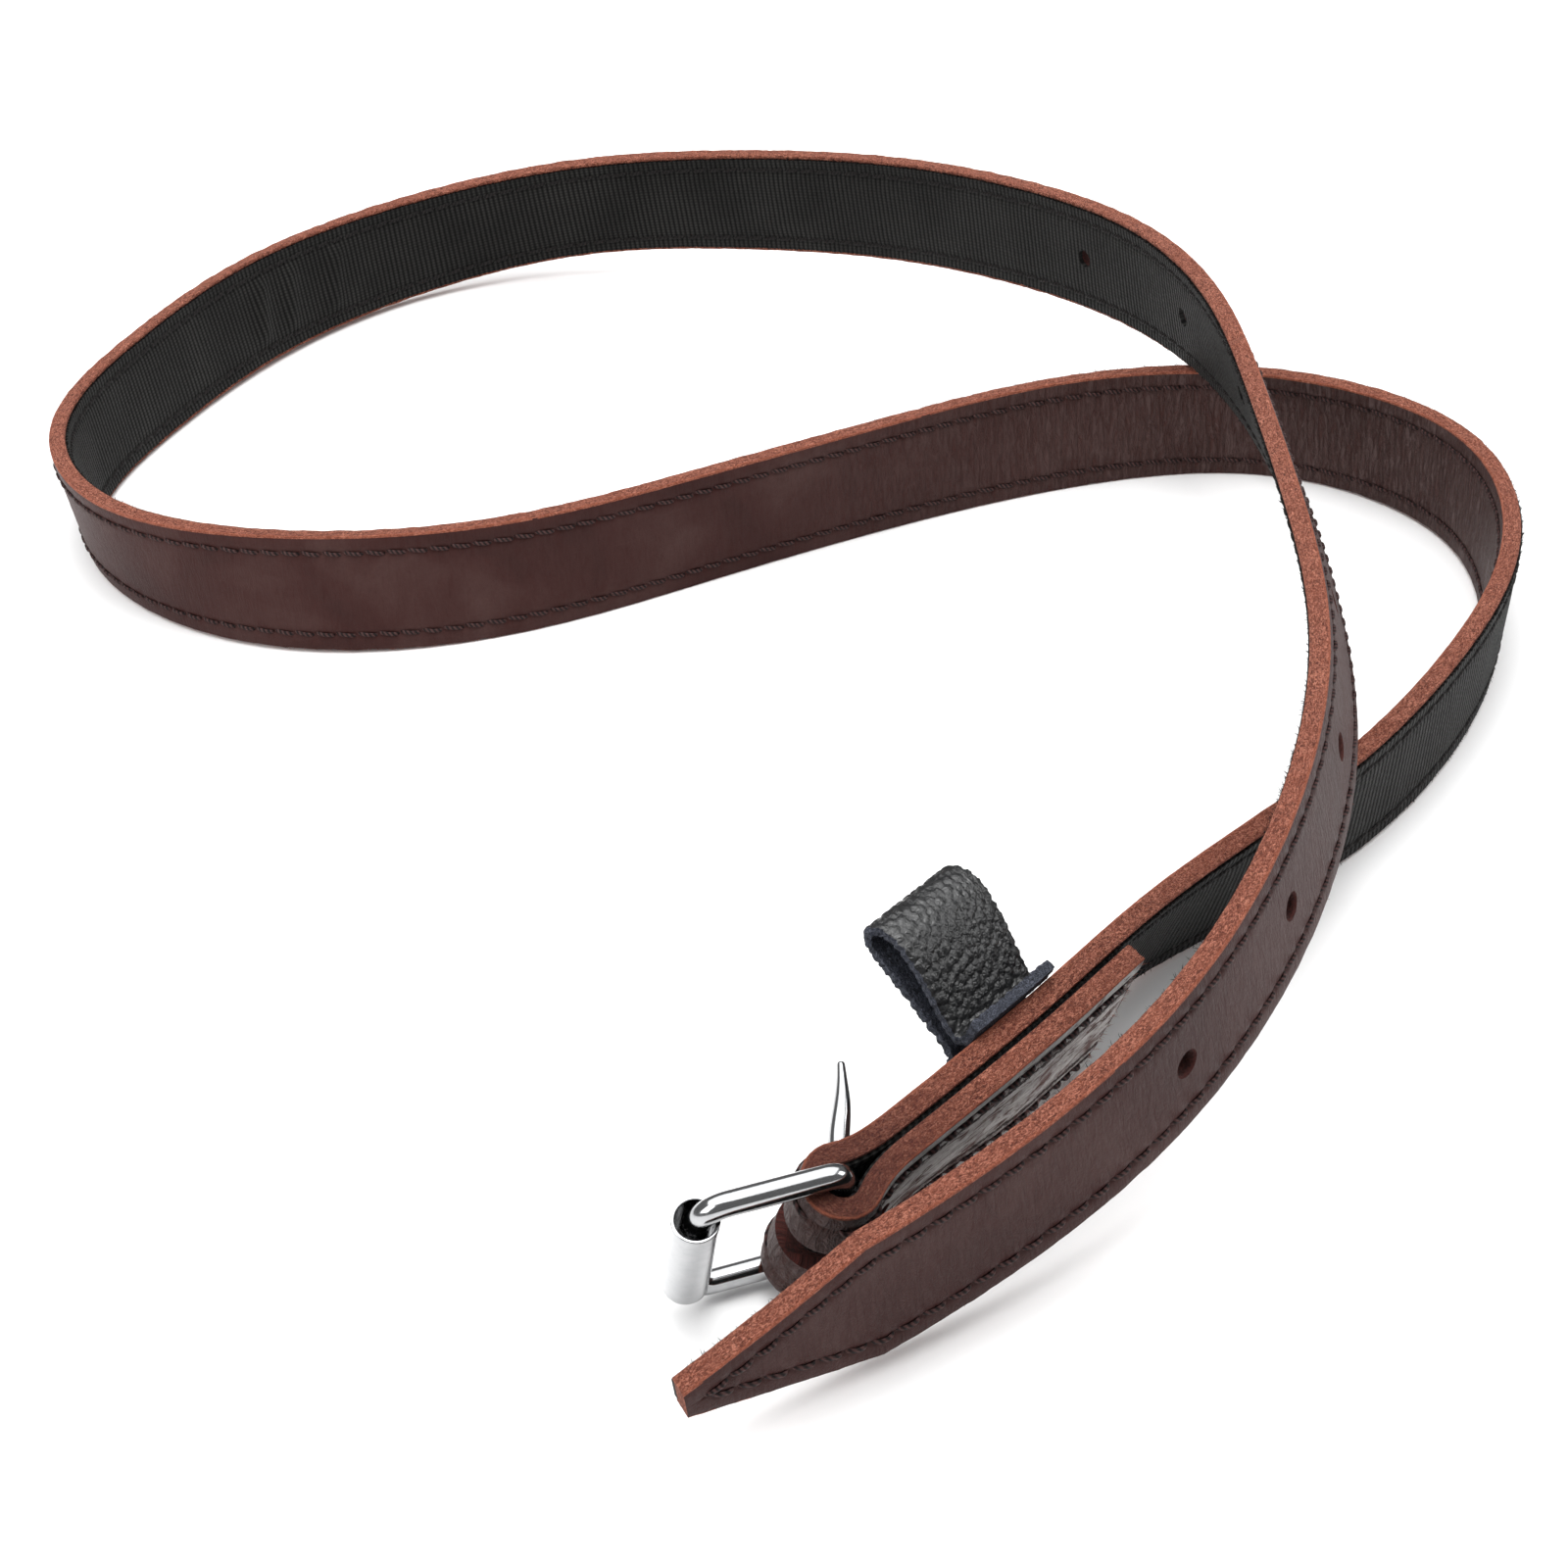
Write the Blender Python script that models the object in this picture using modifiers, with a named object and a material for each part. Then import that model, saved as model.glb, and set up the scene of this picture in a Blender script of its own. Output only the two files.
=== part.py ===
"""Guitar strap: lined leather strap with a roller buckle and a keeper loop.

The strap lies in loose loops and stands on its lower edge. Flat pieces (leather, lining, threads)
are made flat, with x along the strap, y across it and z through it, and are then laid along one
route. Units are metres, +Z is up, and the floor is z = 0.
"""

import math

import bmesh
import bpy
import numpy as np
from mathutils import Matrix, Vector

MM = 0.001
GAP = 0.3 * MM                     # clearance between touching solids

# ---------------------------------------------------------------- driving dimensions
STRAP_WIDTH = 25.0 * MM
LEATHER = 2.9 * MM                 # leather thickness
LINING = 0.6 * MM                  # webbing thickness
LINING_MARGIN = 0.3 * MM           # the webbing is this much narrower at each edge
THREAD = 0.5 * MM                  # thread diameter
SEAM_INSET = 3.5 * MM              # from the edge to the stitch row
POINT_LENGTH = 30.0 * MM           # taper of the pointed end
POINT_WIDTH = 5.4 * MM             # blunt end of the point

HOLE_RADIUS = 2.0 * MM
HOLE_PLACES = [m * MM for m in (935, 979, 1020, 1061, 1101, 1141, 1178, 1212)]

WIRE_RADIUS = 1.85 * MM            # buckle frame
FRAME_WIDTH = 30.2 * MM            # between the side bars' centre lines
FRAME_DEPTH = 21.0 * MM            # heel bar to front bar
HEEL_CORNER = 2.6 * MM
FRONT_CORNER = 4.2 * MM
ROLLER_RADIUS = 3.5 * MM
ROLLER_WALL = 0.5 * MM
ROLLER_LENGTH = 24.4 * MM
ROLLER_SHIFT = 0.4 * MM            # the loose roller hangs this far outside the front bar's centre
TONGUE_EYE_RADIUS = 1.25 * MM   # the wire of the eye round the heel bar
TONGUE_RADIUS = 1.6 * MM
TONGUE_TIP_RADIUS = 0.65 * MM
# Middle line and thickness of the prong after the eye: out from the bar, beside it, in mm, and radius.
PRONG = [(3, -3.1, 1.3), (6, -1.7, 1.45), (9, -0.6, 1.6), (12, -0.35, 1.6), (15, -0.45, 1.5), (18, -0.5, 1.25),
         (21, -0.3, 0.9), (24, 0.0, 0.65)]

TAIL_LENGTH = 64.0 * MM            # folded end, from the heel bar back along the strap
PINCH = math.radians(25)           # each layer leaves the bar turned this far inwards
CLOSED_AT = 14.0 * MM              # where the two layers have come together
LOWER_FLARE = 1.1 * MM             # the loose fold is this much wider at its lower edge,
LOWER_DROP = 1.0 * MM              # and hangs this much further out there
TAIL_OPENING = 2.4 * MM            # the folded end's lower edge stands this far off the strap,
OPEN_AT = 44.0 * MM                # from here on
BAR_TILT = math.tan(math.radians(5))  # the heel bar's lower end sits this much nearer the strap
BAR_RISE = 0.2 * MM                # the buckle's middle, above the middle of the strap
SLOT_WIDTH = 5.5 * MM
SLOT_ON_TAIL = 8.5 * MM
SLOT_ON_STRAP = 15.0 * MM

KEEPER_PLACE = 38.7 * MM           # middle of the keeper, from the heel bar
KEEPER_WIDTH = 17.4 * MM           # along the strap
KEEPER_LEATHER = 1.8 * MM

FRAME_TURN = math.radians(-26.0)   # frame at rest, from the line of the strap
TONGUE_TURN = math.radians(-111.0)  # tongue at rest, from the frame

# Route of the leather's middle line from the heel bar to the point: x, y, z in mm, and the lean of
# the upper edge towards the grain side in degrees. SHIFT centres the whole object over the origin.
SHIFT = (3.7, -37.7, 0.1)
ROUTE = [
    (0, -129.4, 17, -23), (31.6, -98.5, 19, -26), (58.6, -65.7, 13.5, -22), (92, -39, 12.5, -10),
    (120.3, -7.3, 12.5, -4), (140, 31, 13, -5), (140.2, 74.8, 13, 1), (111, 104, 12.6, 5),
    (68, 107, 12.5, -2), (27, 94, 12.5, 1), (-13, 77, 12.5, 1), (-53, 62, 12.5, -3),
    (-96, 61, 13, -5), (-134, 81, 13, 7), (-151.6, 120, 12.7, 6), (-141, 161.6, 12.5, 8),
    (-119, 199, 13, 9), (-86, 226, 14, 1), (-44, 234, 18, -5), (-3, 223, 22, -2),
    (34, 200, 27, -1), (63, 169, 32, -2), (84.6, 132.5, 36.4, -5), (95.8, 90.7, 39.5, -12),
    (98.2, 47, 41, -19), (97, 3, 41, -19), (92.2, -40.2, 39, -14), (78.3, -80.3, 34, -8),
    (53.3, -115.2, 26, -1), (19, -140, 18, 4), (-19.9, -160, 12.4, 8),
]

# ---------------------------------------------------------------- derived dimensions
FOLD_RADIUS = WIRE_RADIUS + 0.45 * MM + LINING + GAP + LEATHER / 2
FOLD_ARC = (math.pi + 2 * PINCH) * FOLD_RADIUS
JOIN = FOLD_RADIUS * math.sin(PINCH)
FOLD_END = JOIN - FOLD_ARC
CLOSED_LAYERS = LEATHER + 2 * LINING + 3 * GAP
LINING_MIDDLE = -(LEATHER / 2 + GAP + LINING / 2)
FACE_THREAD_HEIGHT = LEATHER / 2 + GAP + THREAD / 2
BACK_THREAD_HEIGHT = LINING_MIDDLE - LINING / 2 - GAP - THREAD / 2


# ---------------------------------------------------------------- the route
def spline_bends(places, values):
    """Second derivatives of the natural cubic spline through the values."""
    count = len(places)
    step = np.diff(places)
    matrix = np.eye(count)
    right = np.zeros(values.shape)
    for i in range(1, count - 1):
        matrix[i, i - 1:i + 2] = step[i - 1], 2 * (step[i - 1] + step[i]), step[i]
        right[i] = 6 * ((values[i + 1] - values[i]) / step[i] - (values[i] - values[i - 1]) / step[i - 1])
    return np.linalg.solve(matrix, right)


def spline_values(places, values, bends, at):
    """The spline's values at the given places."""
    i = np.clip(np.searchsorted(places, at) - 1, 0, len(places) - 2)
    step = (places[i + 1] - places[i])[:, None]
    a = (places[i + 1] - at)[:, None] / step
    b = 1 - a
    curve = ((a ** 3 - a) * bends[i] + (b ** 3 - b) * bends[i + 1]) * step ** 2 / 6
    return a * values[i] + b * values[i + 1] + curve


class Route:
    """Middle line of the leather with its cross direction and its grain-side normal."""

    def __init__(self, rows, samples=2600):
        rows = (np.array(rows, float) + (*SHIFT, 0)) * (MM, MM, MM, math.pi / 180)
        chord = np.linalg.norm(np.diff(rows[:, :3], axis=0), axis=1)
        places = np.concatenate([[0.0], np.cumsum(chord)])
        bends = spline_bends(places, rows)
        fine = spline_values(places, rows, bends, np.linspace(0, places[-1], samples))
        length = np.concatenate([[0.0], np.cumsum(np.linalg.norm(np.diff(fine[:, :3], axis=0), axis=1))])
        self.length = length[-1]
        self.at = np.linspace(0, self.length, samples)
        even = np.stack([np.interp(self.at, length, fine[:, k]) for k in range(4)], axis=-1)
        self.point = even[:, :3]
        along = np.gradient(self.point, self.at, axis=0)
        self.along = along / np.linalg.norm(along, axis=1)[:, None]
        up = np.array([0, 0, 1.0]) - self.along * self.along[:, 2:3]
        up /= np.linalg.norm(up, axis=1)[:, None]
        side = np.cross(up, self.along)
        lean = even[:, 3:4]
        self.across = np.cos(lean) * up + np.sin(lean) * side
        self.normal = np.cos(lean) * side - np.sin(lean) * up
        turn = np.gradient(self.along, self.at, axis=0)
        self.curvature = np.linalg.norm(turn, axis=1)
        self.twist = abs((np.gradient(self.normal, self.at, axis=0) * self.across).sum(axis=1))

    def read(self, table, place):
        return Vector([float(np.interp(place, self.at, table[:, k])) for k in range(3)])

    def main(self, place):
        """Point, along, across and normal on the strap proper."""
        return [self.read(t, place) for t in (self.point, self.along, self.across, self.normal)]

    def half_gap(self, place):
        """Half the distance between the two leather layers beside the heel bar, its slope, and how
        much of the fold's looseness is left there."""
        share = min((place - JOIN) / (CLOSED_AT - JOIN), 1.0)
        start, drop = FOLD_RADIUS * math.cos(PINCH), -math.tan(PINCH) * (CLOSED_AT - JOIN)
        spread = start * (2 * share ** 3 - 3 * share ** 2 + 1) + drop * (share ** 3 - 2 * share ** 2 + share)
        spread += CLOSED_LAYERS / 2 * (3 * share ** 2 - 2 * share ** 3)
        slope = 6 * (start - CLOSED_LAYERS / 2) * (share ** 2 - share) + drop * (3 * share ** 2 - 4 * share + 1)
        return spread, slope / (CLOSED_AT - JOIN), 1 - share * share * (3 - 2 * share)

    def frame(self, place):
        """Point, across and normal at a place: the strap, then the fold round the bar, then the tail."""
        if JOIN > place > FOLD_END:
            point, along, across, normal = self.main(0.0)
            angle = (JOIN - place) / FOLD_RADIUS - PINCH
            outward = normal * math.cos(angle) - along * math.sin(angle)
            point += outward * FOLD_RADIUS - normal * CLOSED_LAYERS / 2
            loose = outward * LOWER_FLARE - along * LOWER_DROP
        else:
            beside = place if place >= JOIN else JOIN + FOLD_END - place
            point, along, across, normal = self.main(beside)
            spread, slope, left = self.half_gap(beside)
            if place >= JOIN:
                outward = (normal - along * slope).normalized()
                point += normal * (spread - CLOSED_LAYERS / 2)
            else:
                outward = -(normal + along * slope).normalized()
                point -= normal * (spread + CLOSED_LAYERS / 2)
            loose = (outward * LOWER_FLARE - along * LOWER_DROP) * left
            if place < JOIN:
                share = min(max((beside - CLOSED_AT) / (OPEN_AT - CLOSED_AT), 0.0), 1.0)
                loose += outward * TAIL_OPENING * share * share * (3 - 2 * share)
        return point + loose / 2, across - loose / STRAP_WIDTH, outward

    def cuts(self, sag=0.12 * MM):
        """Places to cut the flat pieces, closer together where the route bends more."""
        tail = [FOLD_END - 4 * MM * k for k in range(40)]
        fold = [JOIN - FOLD_ARC * k / 16 for k in range(1, 16)]
        places = [JOIN]
        while places[-1] < self.length:
            bend = float(np.interp(places[-1] + 4 * MM, self.at, self.curvature))
            twist = float(np.interp(places[-1] + 4 * MM, self.at, self.twist))
            longest = 4 * MM if places[-1] < 1.6 * CLOSED_AT else 13 * MM
            by_twist = max(0.025 / max(twist, 1e-6), 6 * MM)
            places.append(places[-1] + min(longest, by_twist, math.sqrt(8 * sag / max(bend, 1e-6))))
        return sorted(tail + fold + places)


route = Route(ROUTE)
STRAP_END = route.length
TAIL_START = FOLD_END + JOIN - TAIL_LENGTH
CUTS = route.cuts()


def between(start, end):
    """The cut places from the start to the end, with both."""
    return [start] + [place for place in CUTS if start + 0.5 * MM < place < end - 0.5 * MM] + [end]


# ---------------------------------------------------------------- making and laying pieces
for old in list(bpy.data.objects):
    bpy.data.objects.remove(old, do_unlink=True)

parts = bpy.data.collections.new("guitar_strap")
bpy.context.scene.collection.children.link(parts)


def material(name, colour, roughness, metallic=0.0):
    made = bpy.data.materials.new(name)
    made.use_nodes = True
    shader = made.node_tree.nodes["Principled BSDF"]
    shader.inputs["Base Color"].default_value = (*colour, 1.0)
    shader.inputs["Roughness"].default_value = roughness
    shader.inputs["Metallic"].default_value = metallic
    return made


BROWN_LEATHER = material("brown_leather", (0.045, 0.022, 0.019), 0.45)
BLACK_WEBBING = material("black_webbing", (0.014, 0.015, 0.014), 0.8)
BROWN_THREAD = material("brown_thread", (0.030, 0.014, 0.013), 0.6)
BLACK_LEATHER = material("black_leather", (0.012, 0.013, 0.014), 0.5)
CHROME = material("chrome", (0.80, 0.81, 0.82), 0.08, 1.0)


def add(name, mesh, finish, smooth=False):
    obj = bpy.data.objects.new(name, mesh)
    parts.objects.link(obj)
    mesh.materials.clear()
    mesh.materials.append(finish)
    if smooth:
        mesh.shade_smooth()
        mesh.set_sharp_from_angle(angle=math.radians(35))
    return obj


def to_mesh(obj, name):
    """The object's evaluated mesh, with coincident points joined; the object is removed."""
    view = bpy.context.evaluated_depsgraph_get()
    mesh = bpy.data.meshes.new_from_object(obj.evaluated_get(view))
    mesh.name = name
    mesh.transform(obj.matrix_world)
    bpy.data.objects.remove(obj, do_unlink=True)
    bm = bmesh.new()
    bm.from_mesh(mesh)
    bmesh.ops.remove_doubles(bm, verts=bm.verts, dist=1e-6)
    bm.to_mesh(mesh)
    bm.free()
    return mesh


def wire(name, points, radius, cyclic=False, resolution=2, radii=None):
    """A round wire through the points."""
    curve = bpy.data.curves.new(name, "CURVE")
    curve.dimensions = "3D"
    curve.fill_mode = "FULL"
    curve.bevel_depth = radius
    curve.bevel_resolution = resolution
    curve.use_fill_caps = not cyclic
    curve.render_resolution_u = 0
    line = curve.splines.new("POLY")
    line.points.add(len(points) - 1)
    for k, (spot, place) in enumerate(zip(line.points, points)):
        spot.co = (*place, 1.0)
        spot.radius = radii[k] if radii else 1.0
    line.use_cyclic_u = cyclic
    obj = bpy.data.objects.new(name, curve)
    parts.objects.link(obj)
    bpy.context.view_layer.update()
    return obj


def half_width(place, full):
    """Half the strip's width at a place: it tapers towards the point."""
    share = min(max((place - (STRAP_END - POINT_LENGTH)) / POINT_LENGTH, 0.0), 1.0)
    return full / 2 - share * (STRAP_WIDTH - POINT_WIDTH) / 2


def slice_across(bm, places):
    """Cut a flat mesh across at the given places along the strap."""
    for place in places:
        everything = bm.verts[:] + bm.edges[:] + bm.faces[:]
        bmesh.ops.bisect_plane(bm, geom=everything, dist=1e-7, plane_co=(place, 0, 0), plane_no=(1, 0, 0))


def split_alike(bm):
    """Split every face into triangles; a slight shear gives all the rectangles the same diagonal."""
    for vert in bm.verts:
        vert.co.x += 0.01 * vert.co.y
    bmesh.ops.triangulate(bm, faces=bm.faces, quad_method="SHORT_EDGE", ngon_method="BEAUTY")
    for vert in bm.verts:
        vert.co.x -= 0.01 * vert.co.y


def flat_strip(start, end, width, thickness, middle):
    """A flat strip with its tapered point."""
    bm = bmesh.new()
    size = Matrix.Diagonal((end - start, 1.0, thickness, 1.0))
    place = Matrix.Translation(((start + end) / 2, 0, middle))
    bmesh.ops.create_cube(bm, size=1.0, matrix=place @ size)
    slice_across(bm, [STRAP_END - POINT_LENGTH])
    for vert in bm.verts:
        vert.co.y = math.copysign(half_width(vert.co.x, width), vert.co.y)
    mesh = bpy.data.meshes.new("strip")
    bm.to_mesh(mesh)
    bm.free()
    obj = bpy.data.objects.new("strip", mesh)
    parts.objects.link(obj)
    return obj


def punch(strip, cutter):
    """Cut one hole through a flat strip, then drop the cutter."""
    cut = strip.modifiers.new("punch", "BOOLEAN")
    cut.operation = "DIFFERENCE"
    cut.solver = "EXACT"
    cut.object = cutter
    bpy.context.view_layer.update()
    mesh = to_mesh(strip, "strip")
    bpy.data.objects.remove(cutter, do_unlink=True)
    obj = bpy.data.objects.new("strip", mesh)
    parts.objects.link(obj)
    return obj


def round_cutter(place, radius):
    bpy.ops.mesh.primitive_cylinder_add(vertices=12, radius=radius, depth=20 * MM, location=(place, 0, 0))
    return bpy.context.object


def slot_cutter(start, end, width):
    """A slot with round ends along the strap."""
    curve = bpy.data.curves.new("slot", "CURVE")
    curve.dimensions = "2D"
    curve.fill_mode = "BOTH"
    curve.extrude = 10 * MM
    curve.render_resolution_u = 0
    line = curve.splines.new("POLY")
    steps = 6
    outline = []
    for middle, first in ((end - width / 2, -90), (start + width / 2, 90)):
        for k in range(steps + 1):
            angle = math.radians(first + 180 * k / steps)
            outline.append((middle + width / 2 * math.cos(angle), width / 2 * math.sin(angle)))
    line.points.add(len(outline) - 1)
    for spot, (x, y) in zip(line.points, outline):
        spot.co = (x, y, 0, 1)
    line.use_cyclic_u = True
    obj = bpy.data.objects.new("slot", curve)
    parts.objects.link(obj)
    bpy.context.view_layer.update()
    mesh = to_mesh(obj, "slot")
    cutter = bpy.data.objects.new("slot", mesh)
    parts.objects.link(cutter)
    return cutter


def lay(mesh):
    """Bend a flat mesh along the route; the laid axes are left-handed, so the faces are turned over."""
    for vert in mesh.vertices:
        along, sideways, through = vert.co
        point, across, normal = route.frame(along)
        vert.co = point + across * sideways + normal * through
    mesh.flip_normals()
    return mesh


def strip_piece(name, width, thickness, middle, finish, growth=0.0):
    """The leather or the lining: flat strip, tongue slot and holes, laid along the route."""
    strip = flat_strip(TAIL_START, STRAP_END, width, thickness, middle)
    slot_start = FOLD_END + JOIN - SLOT_ON_TAIL - growth
    strip = punch(strip, slot_cutter(slot_start, SLOT_ON_STRAP + growth, SLOT_WIDTH + 2 * growth))
    for place in HOLE_PLACES:
        strip = punch(strip, round_cutter(place, HOLE_RADIUS + growth))
    mesh = to_mesh(strip, name)
    bm = bmesh.new()
    bm.from_mesh(mesh)
    slice_across(bm, between(TAIL_START, STRAP_END)[1:-1])
    split_alike(bm)
    bm.to_mesh(mesh)
    bm.free()
    return add(name, lay(mesh), finish)


def seam_line(start):
    """Stitch row from the start up one edge, round the point and back down the other edge."""
    bend = STRAP_END - POINT_LENGTH
    top = STRAP_END - SEAM_INSET
    side = [(place, STRAP_WIDTH / 2 - SEAM_INSET) for place in between(start, bend)]
    side += [(place, half_width(place, STRAP_WIDTH) - SEAM_INSET) for place in between(bend, top)[1:-1]]
    side += [(top, 0.8 * MM)]
    return side + [(place, -across) for place, across in reversed(side)]


def thread_piece(name, line, height):
    """A thread laid on one face of the strap, given as (along, across) points in the flat strap."""
    points = [(along, across, height) for along, across in line]
    obj = wire(name, points, THREAD / 2, resolution=0)
    return add(name, lay(to_mesh(obj, name)), BROWN_THREAD)


strip_piece("strap_leather", STRAP_WIDTH, LEATHER, 0.0, BROWN_LEATHER)
strip_piece("strap_lining", STRAP_WIDTH - 2 * LINING_MARGIN, LINING, LINING_MIDDLE, BLACK_WEBBING, 0.2 * MM)

SEAM_START = (JOIN + FOLD_END) / 2
thread_piece("edge_thread_face", seam_line(SEAM_START), FACE_THREAD_HEIGHT)
thread_piece("edge_thread_lining", seam_line(TAIL_LENGTH + 6 * MM), BACK_THREAD_HEIGHT)

FOLD_SEAM = between(TAIL_START + 3 * MM, SEAM_START - 2 * MM)
for row_name, row_side in (("upper", 1), ("lower", -1)):
    row = [(place, row_side * (STRAP_WIDTH / 2 - SEAM_INSET)) for place in FOLD_SEAM]
    thread_piece("fold_thread_" + row_name, row, FACE_THREAD_HEIGHT)


# ---------------------------------------------------------------- keeper loop
def strap_matrix(place):
    """Local x along the strap, y out of the grain face, z across towards the upper edge."""
    point, along, across, normal = route.main(place)
    along = across.cross(normal) * -1.0
    turned = Matrix((along, normal, across)).transposed().to_4x4()
    return Matrix.Translation(point) @ turned


KEEPER_BACK = LEATHER / 2 + GAP + KEEPER_LEATHER / 2
# Middle line of the keeper's strip: (out of the grain face, towards the upper edge), in mm.
KEEPER_LOOP = [
    (0, 15.0), (0, 12.6), (0.3, 10.9), (1.4, 9.9), (3.2, 10.4), (6.0, 12.1), (9.6, 14.3), (13.2, 16.1),
    (16.6, 17.0), (19.0, 16.6), (20.7, 15.2), (21.1, 13.3), (19.9, 11.7), (17.0, 10.6), (13.2, 9.6),
    (9.6, 8.6), (6.0, 7.5), (3.0, 6.6), (1.2, 5.7), (0.2, 4.4), (0, 2.8), (0, -7.0),
]


def keeper(name):
    """Loop of strap leather: an open profile drawn along the strap and thickened."""
    bm = bmesh.new()
    chain = [bm.verts.new((0, KEEPER_BACK + out * MM, up * MM)) for out, up in KEEPER_LOOP]
    edges = [bm.edges.new(pair) for pair in zip(chain, chain[1:])]
    drawn = bmesh.ops.extrude_edge_only(bm, edges=edges)
    moved = [item for item in drawn["geom"] if isinstance(item, bmesh.types.BMVert)]
    bmesh.ops.translate(bm, verts=moved, vec=(KEEPER_WIDTH, 0, 0))
    bmesh.ops.translate(bm, verts=bm.verts, vec=(-KEEPER_WIDTH / 2, 0, 0))
    mesh = bpy.data.meshes.new(name)
    bm.to_mesh(mesh)
    bm.free()
    sheet = bpy.data.objects.new(name, mesh)
    parts.objects.link(sheet)
    sheet.matrix_world = strap_matrix(KEEPER_PLACE)
    shell = sheet.modifiers.new("thickness", "SOLIDIFY")
    shell.thickness = KEEPER_LEATHER
    shell.offset = 0.0
    shell.use_even_offset = True
    bpy.context.view_layer.update()
    return add(name, to_mesh(sheet, name), BLACK_LEATHER)


keeper("keeper_loop")
for row_name, row_height in (("upper", 12.9 * MM), ("lower", -3.0 * MM)):
    reach = KEEPER_WIDTH / 2 - 2 * MM
    height = KEEPER_BACK + KEEPER_LEATHER / 2 + GAP + THREAD / 2
    row = wire("row", [(-reach, height, row_height), (reach, height, row_height)], THREAD / 2, resolution=1)
    row.matrix_world = strap_matrix(KEEPER_PLACE)
    bpy.context.view_layer.update()
    add("keeper_thread_" + row_name, to_mesh(row, "row"), BROWN_THREAD)


# ---------------------------------------------------------------- buckle
def buckle_matrix(turn):
    """At the heel bar: local z along the bar, local x out to the front bar at the given turn."""
    point, along, across, normal = route.main(0.0)
    centre = point - normal * CLOSED_LAYERS / 2 + along * BAR_TILT * STRAP_WIDTH / 2
    bar = (across - along * BAR_TILT).normalized()
    centre += bar * BAR_RISE
    out = Matrix.Rotation(turn, 3, bar) @ bar.cross(normal)
    return Matrix.Translation(centre) @ Matrix((out, bar.cross(out), bar)).transposed().to_4x4()


def corner(centre, radius, first, steps=5):
    """Points of a quarter bend in the local x, z plane, from the first angle on."""
    angles = [math.radians(first + 90 * k / steps) for k in range(steps + 1)]
    return [(centre[0] + radius * math.cos(a), 0, centre[1] + radius * math.sin(a)) for a in angles]


def buckle_frame(matrix):
    side = FRAME_WIDTH / 2
    loop = corner((FRAME_DEPTH - FRONT_CORNER, side - FRONT_CORNER), FRONT_CORNER, 0)
    loop += corner((HEEL_CORNER, side - HEEL_CORNER), HEEL_CORNER, 90)
    loop += corner((HEEL_CORNER, HEEL_CORNER - side), HEEL_CORNER, 180)
    loop += corner((FRAME_DEPTH - FRONT_CORNER, FRONT_CORNER - side), FRONT_CORNER, 270)
    obj = wire("buckle_frame", loop, WIRE_RADIUS, cyclic=True, resolution=3)
    obj.matrix_world = matrix
    bpy.context.view_layer.update()
    return add("buckle_frame", to_mesh(obj, "buckle_frame"), CHROME, smooth=True)


def buckle_roller(matrix):
    """Thin tube, turned from its closed section."""
    inner = ROLLER_RADIUS - ROLLER_WALL
    top = ROLLER_LENGTH / 2
    section = [(ROLLER_RADIUS, top), (ROLLER_RADIUS, -top), (inner, -top), (inner, top)]
    bm = bmesh.new()
    ring = [bm.verts.new((radius, 0, height)) for radius, height in section]
    for pair in zip(ring, ring[1:] + ring[:1]):
        bm.edges.new(pair)
    mesh = bpy.data.meshes.new("buckle_roller")
    bm.to_mesh(mesh)
    bm.free()
    obj = bpy.data.objects.new("buckle_roller", mesh)
    parts.objects.link(obj)
    turned = obj.modifiers.new("turned", "SCREW")
    turned.steps = 28
    turned.render_steps = 28
    turned.use_merge_vertices = True
    turned.merge_threshold = 0.0001 * MM
    obj.matrix_world = matrix @ Matrix.Translation((FRAME_DEPTH + ROLLER_SHIFT, 0, 0))
    bpy.context.view_layer.update()
    return add("buckle_roller", to_mesh(obj, "buckle_roller"), CHROME, smooth=True)


def buckle_tongue(matrix):
    """Wire prong whose root is bent to an open eye round the heel bar."""
    bend = WIRE_RADIUS + GAP + TONGUE_EYE_RADIUS
    turn_steps = 12
    wrap = math.radians(270)
    points = []
    for k in range(turn_steps + 1):
        angle = -math.pi / 2 - wrap + wrap * k / turn_steps
        points.append((bend * math.cos(angle), bend * math.sin(angle), 0))
    radii = [TONGUE_EYE_RADIUS / TONGUE_RADIUS] * len(points)
    for out, beside, radius in PRONG:
        points.append((out * MM, beside * MM, 0))
        radii.append(radius * MM / TONGUE_RADIUS)
    obj = wire("buckle_tongue", points, TONGUE_RADIUS, resolution=2, radii=radii)
    obj.matrix_world = matrix
    bpy.context.view_layer.update()
    return add("buckle_tongue", to_mesh(obj, "buckle_tongue"), CHROME, smooth=True)


buckle_frame(buckle_matrix(FRAME_TURN))
buckle_roller(buckle_matrix(FRAME_TURN))
buckle_tongue(buckle_matrix(FRAME_TURN + TONGUE_TURN))
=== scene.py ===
"""Guitar strap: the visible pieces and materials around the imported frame.

Everything that lies on the strap is first made flat, with x along the strap, y across it and z through
it, in metres, and is then laid along the same route as the frame's own strap.
"""

import math

import bmesh
import bpy
import numpy as np
from mathutils import Matrix, Vector


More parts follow.
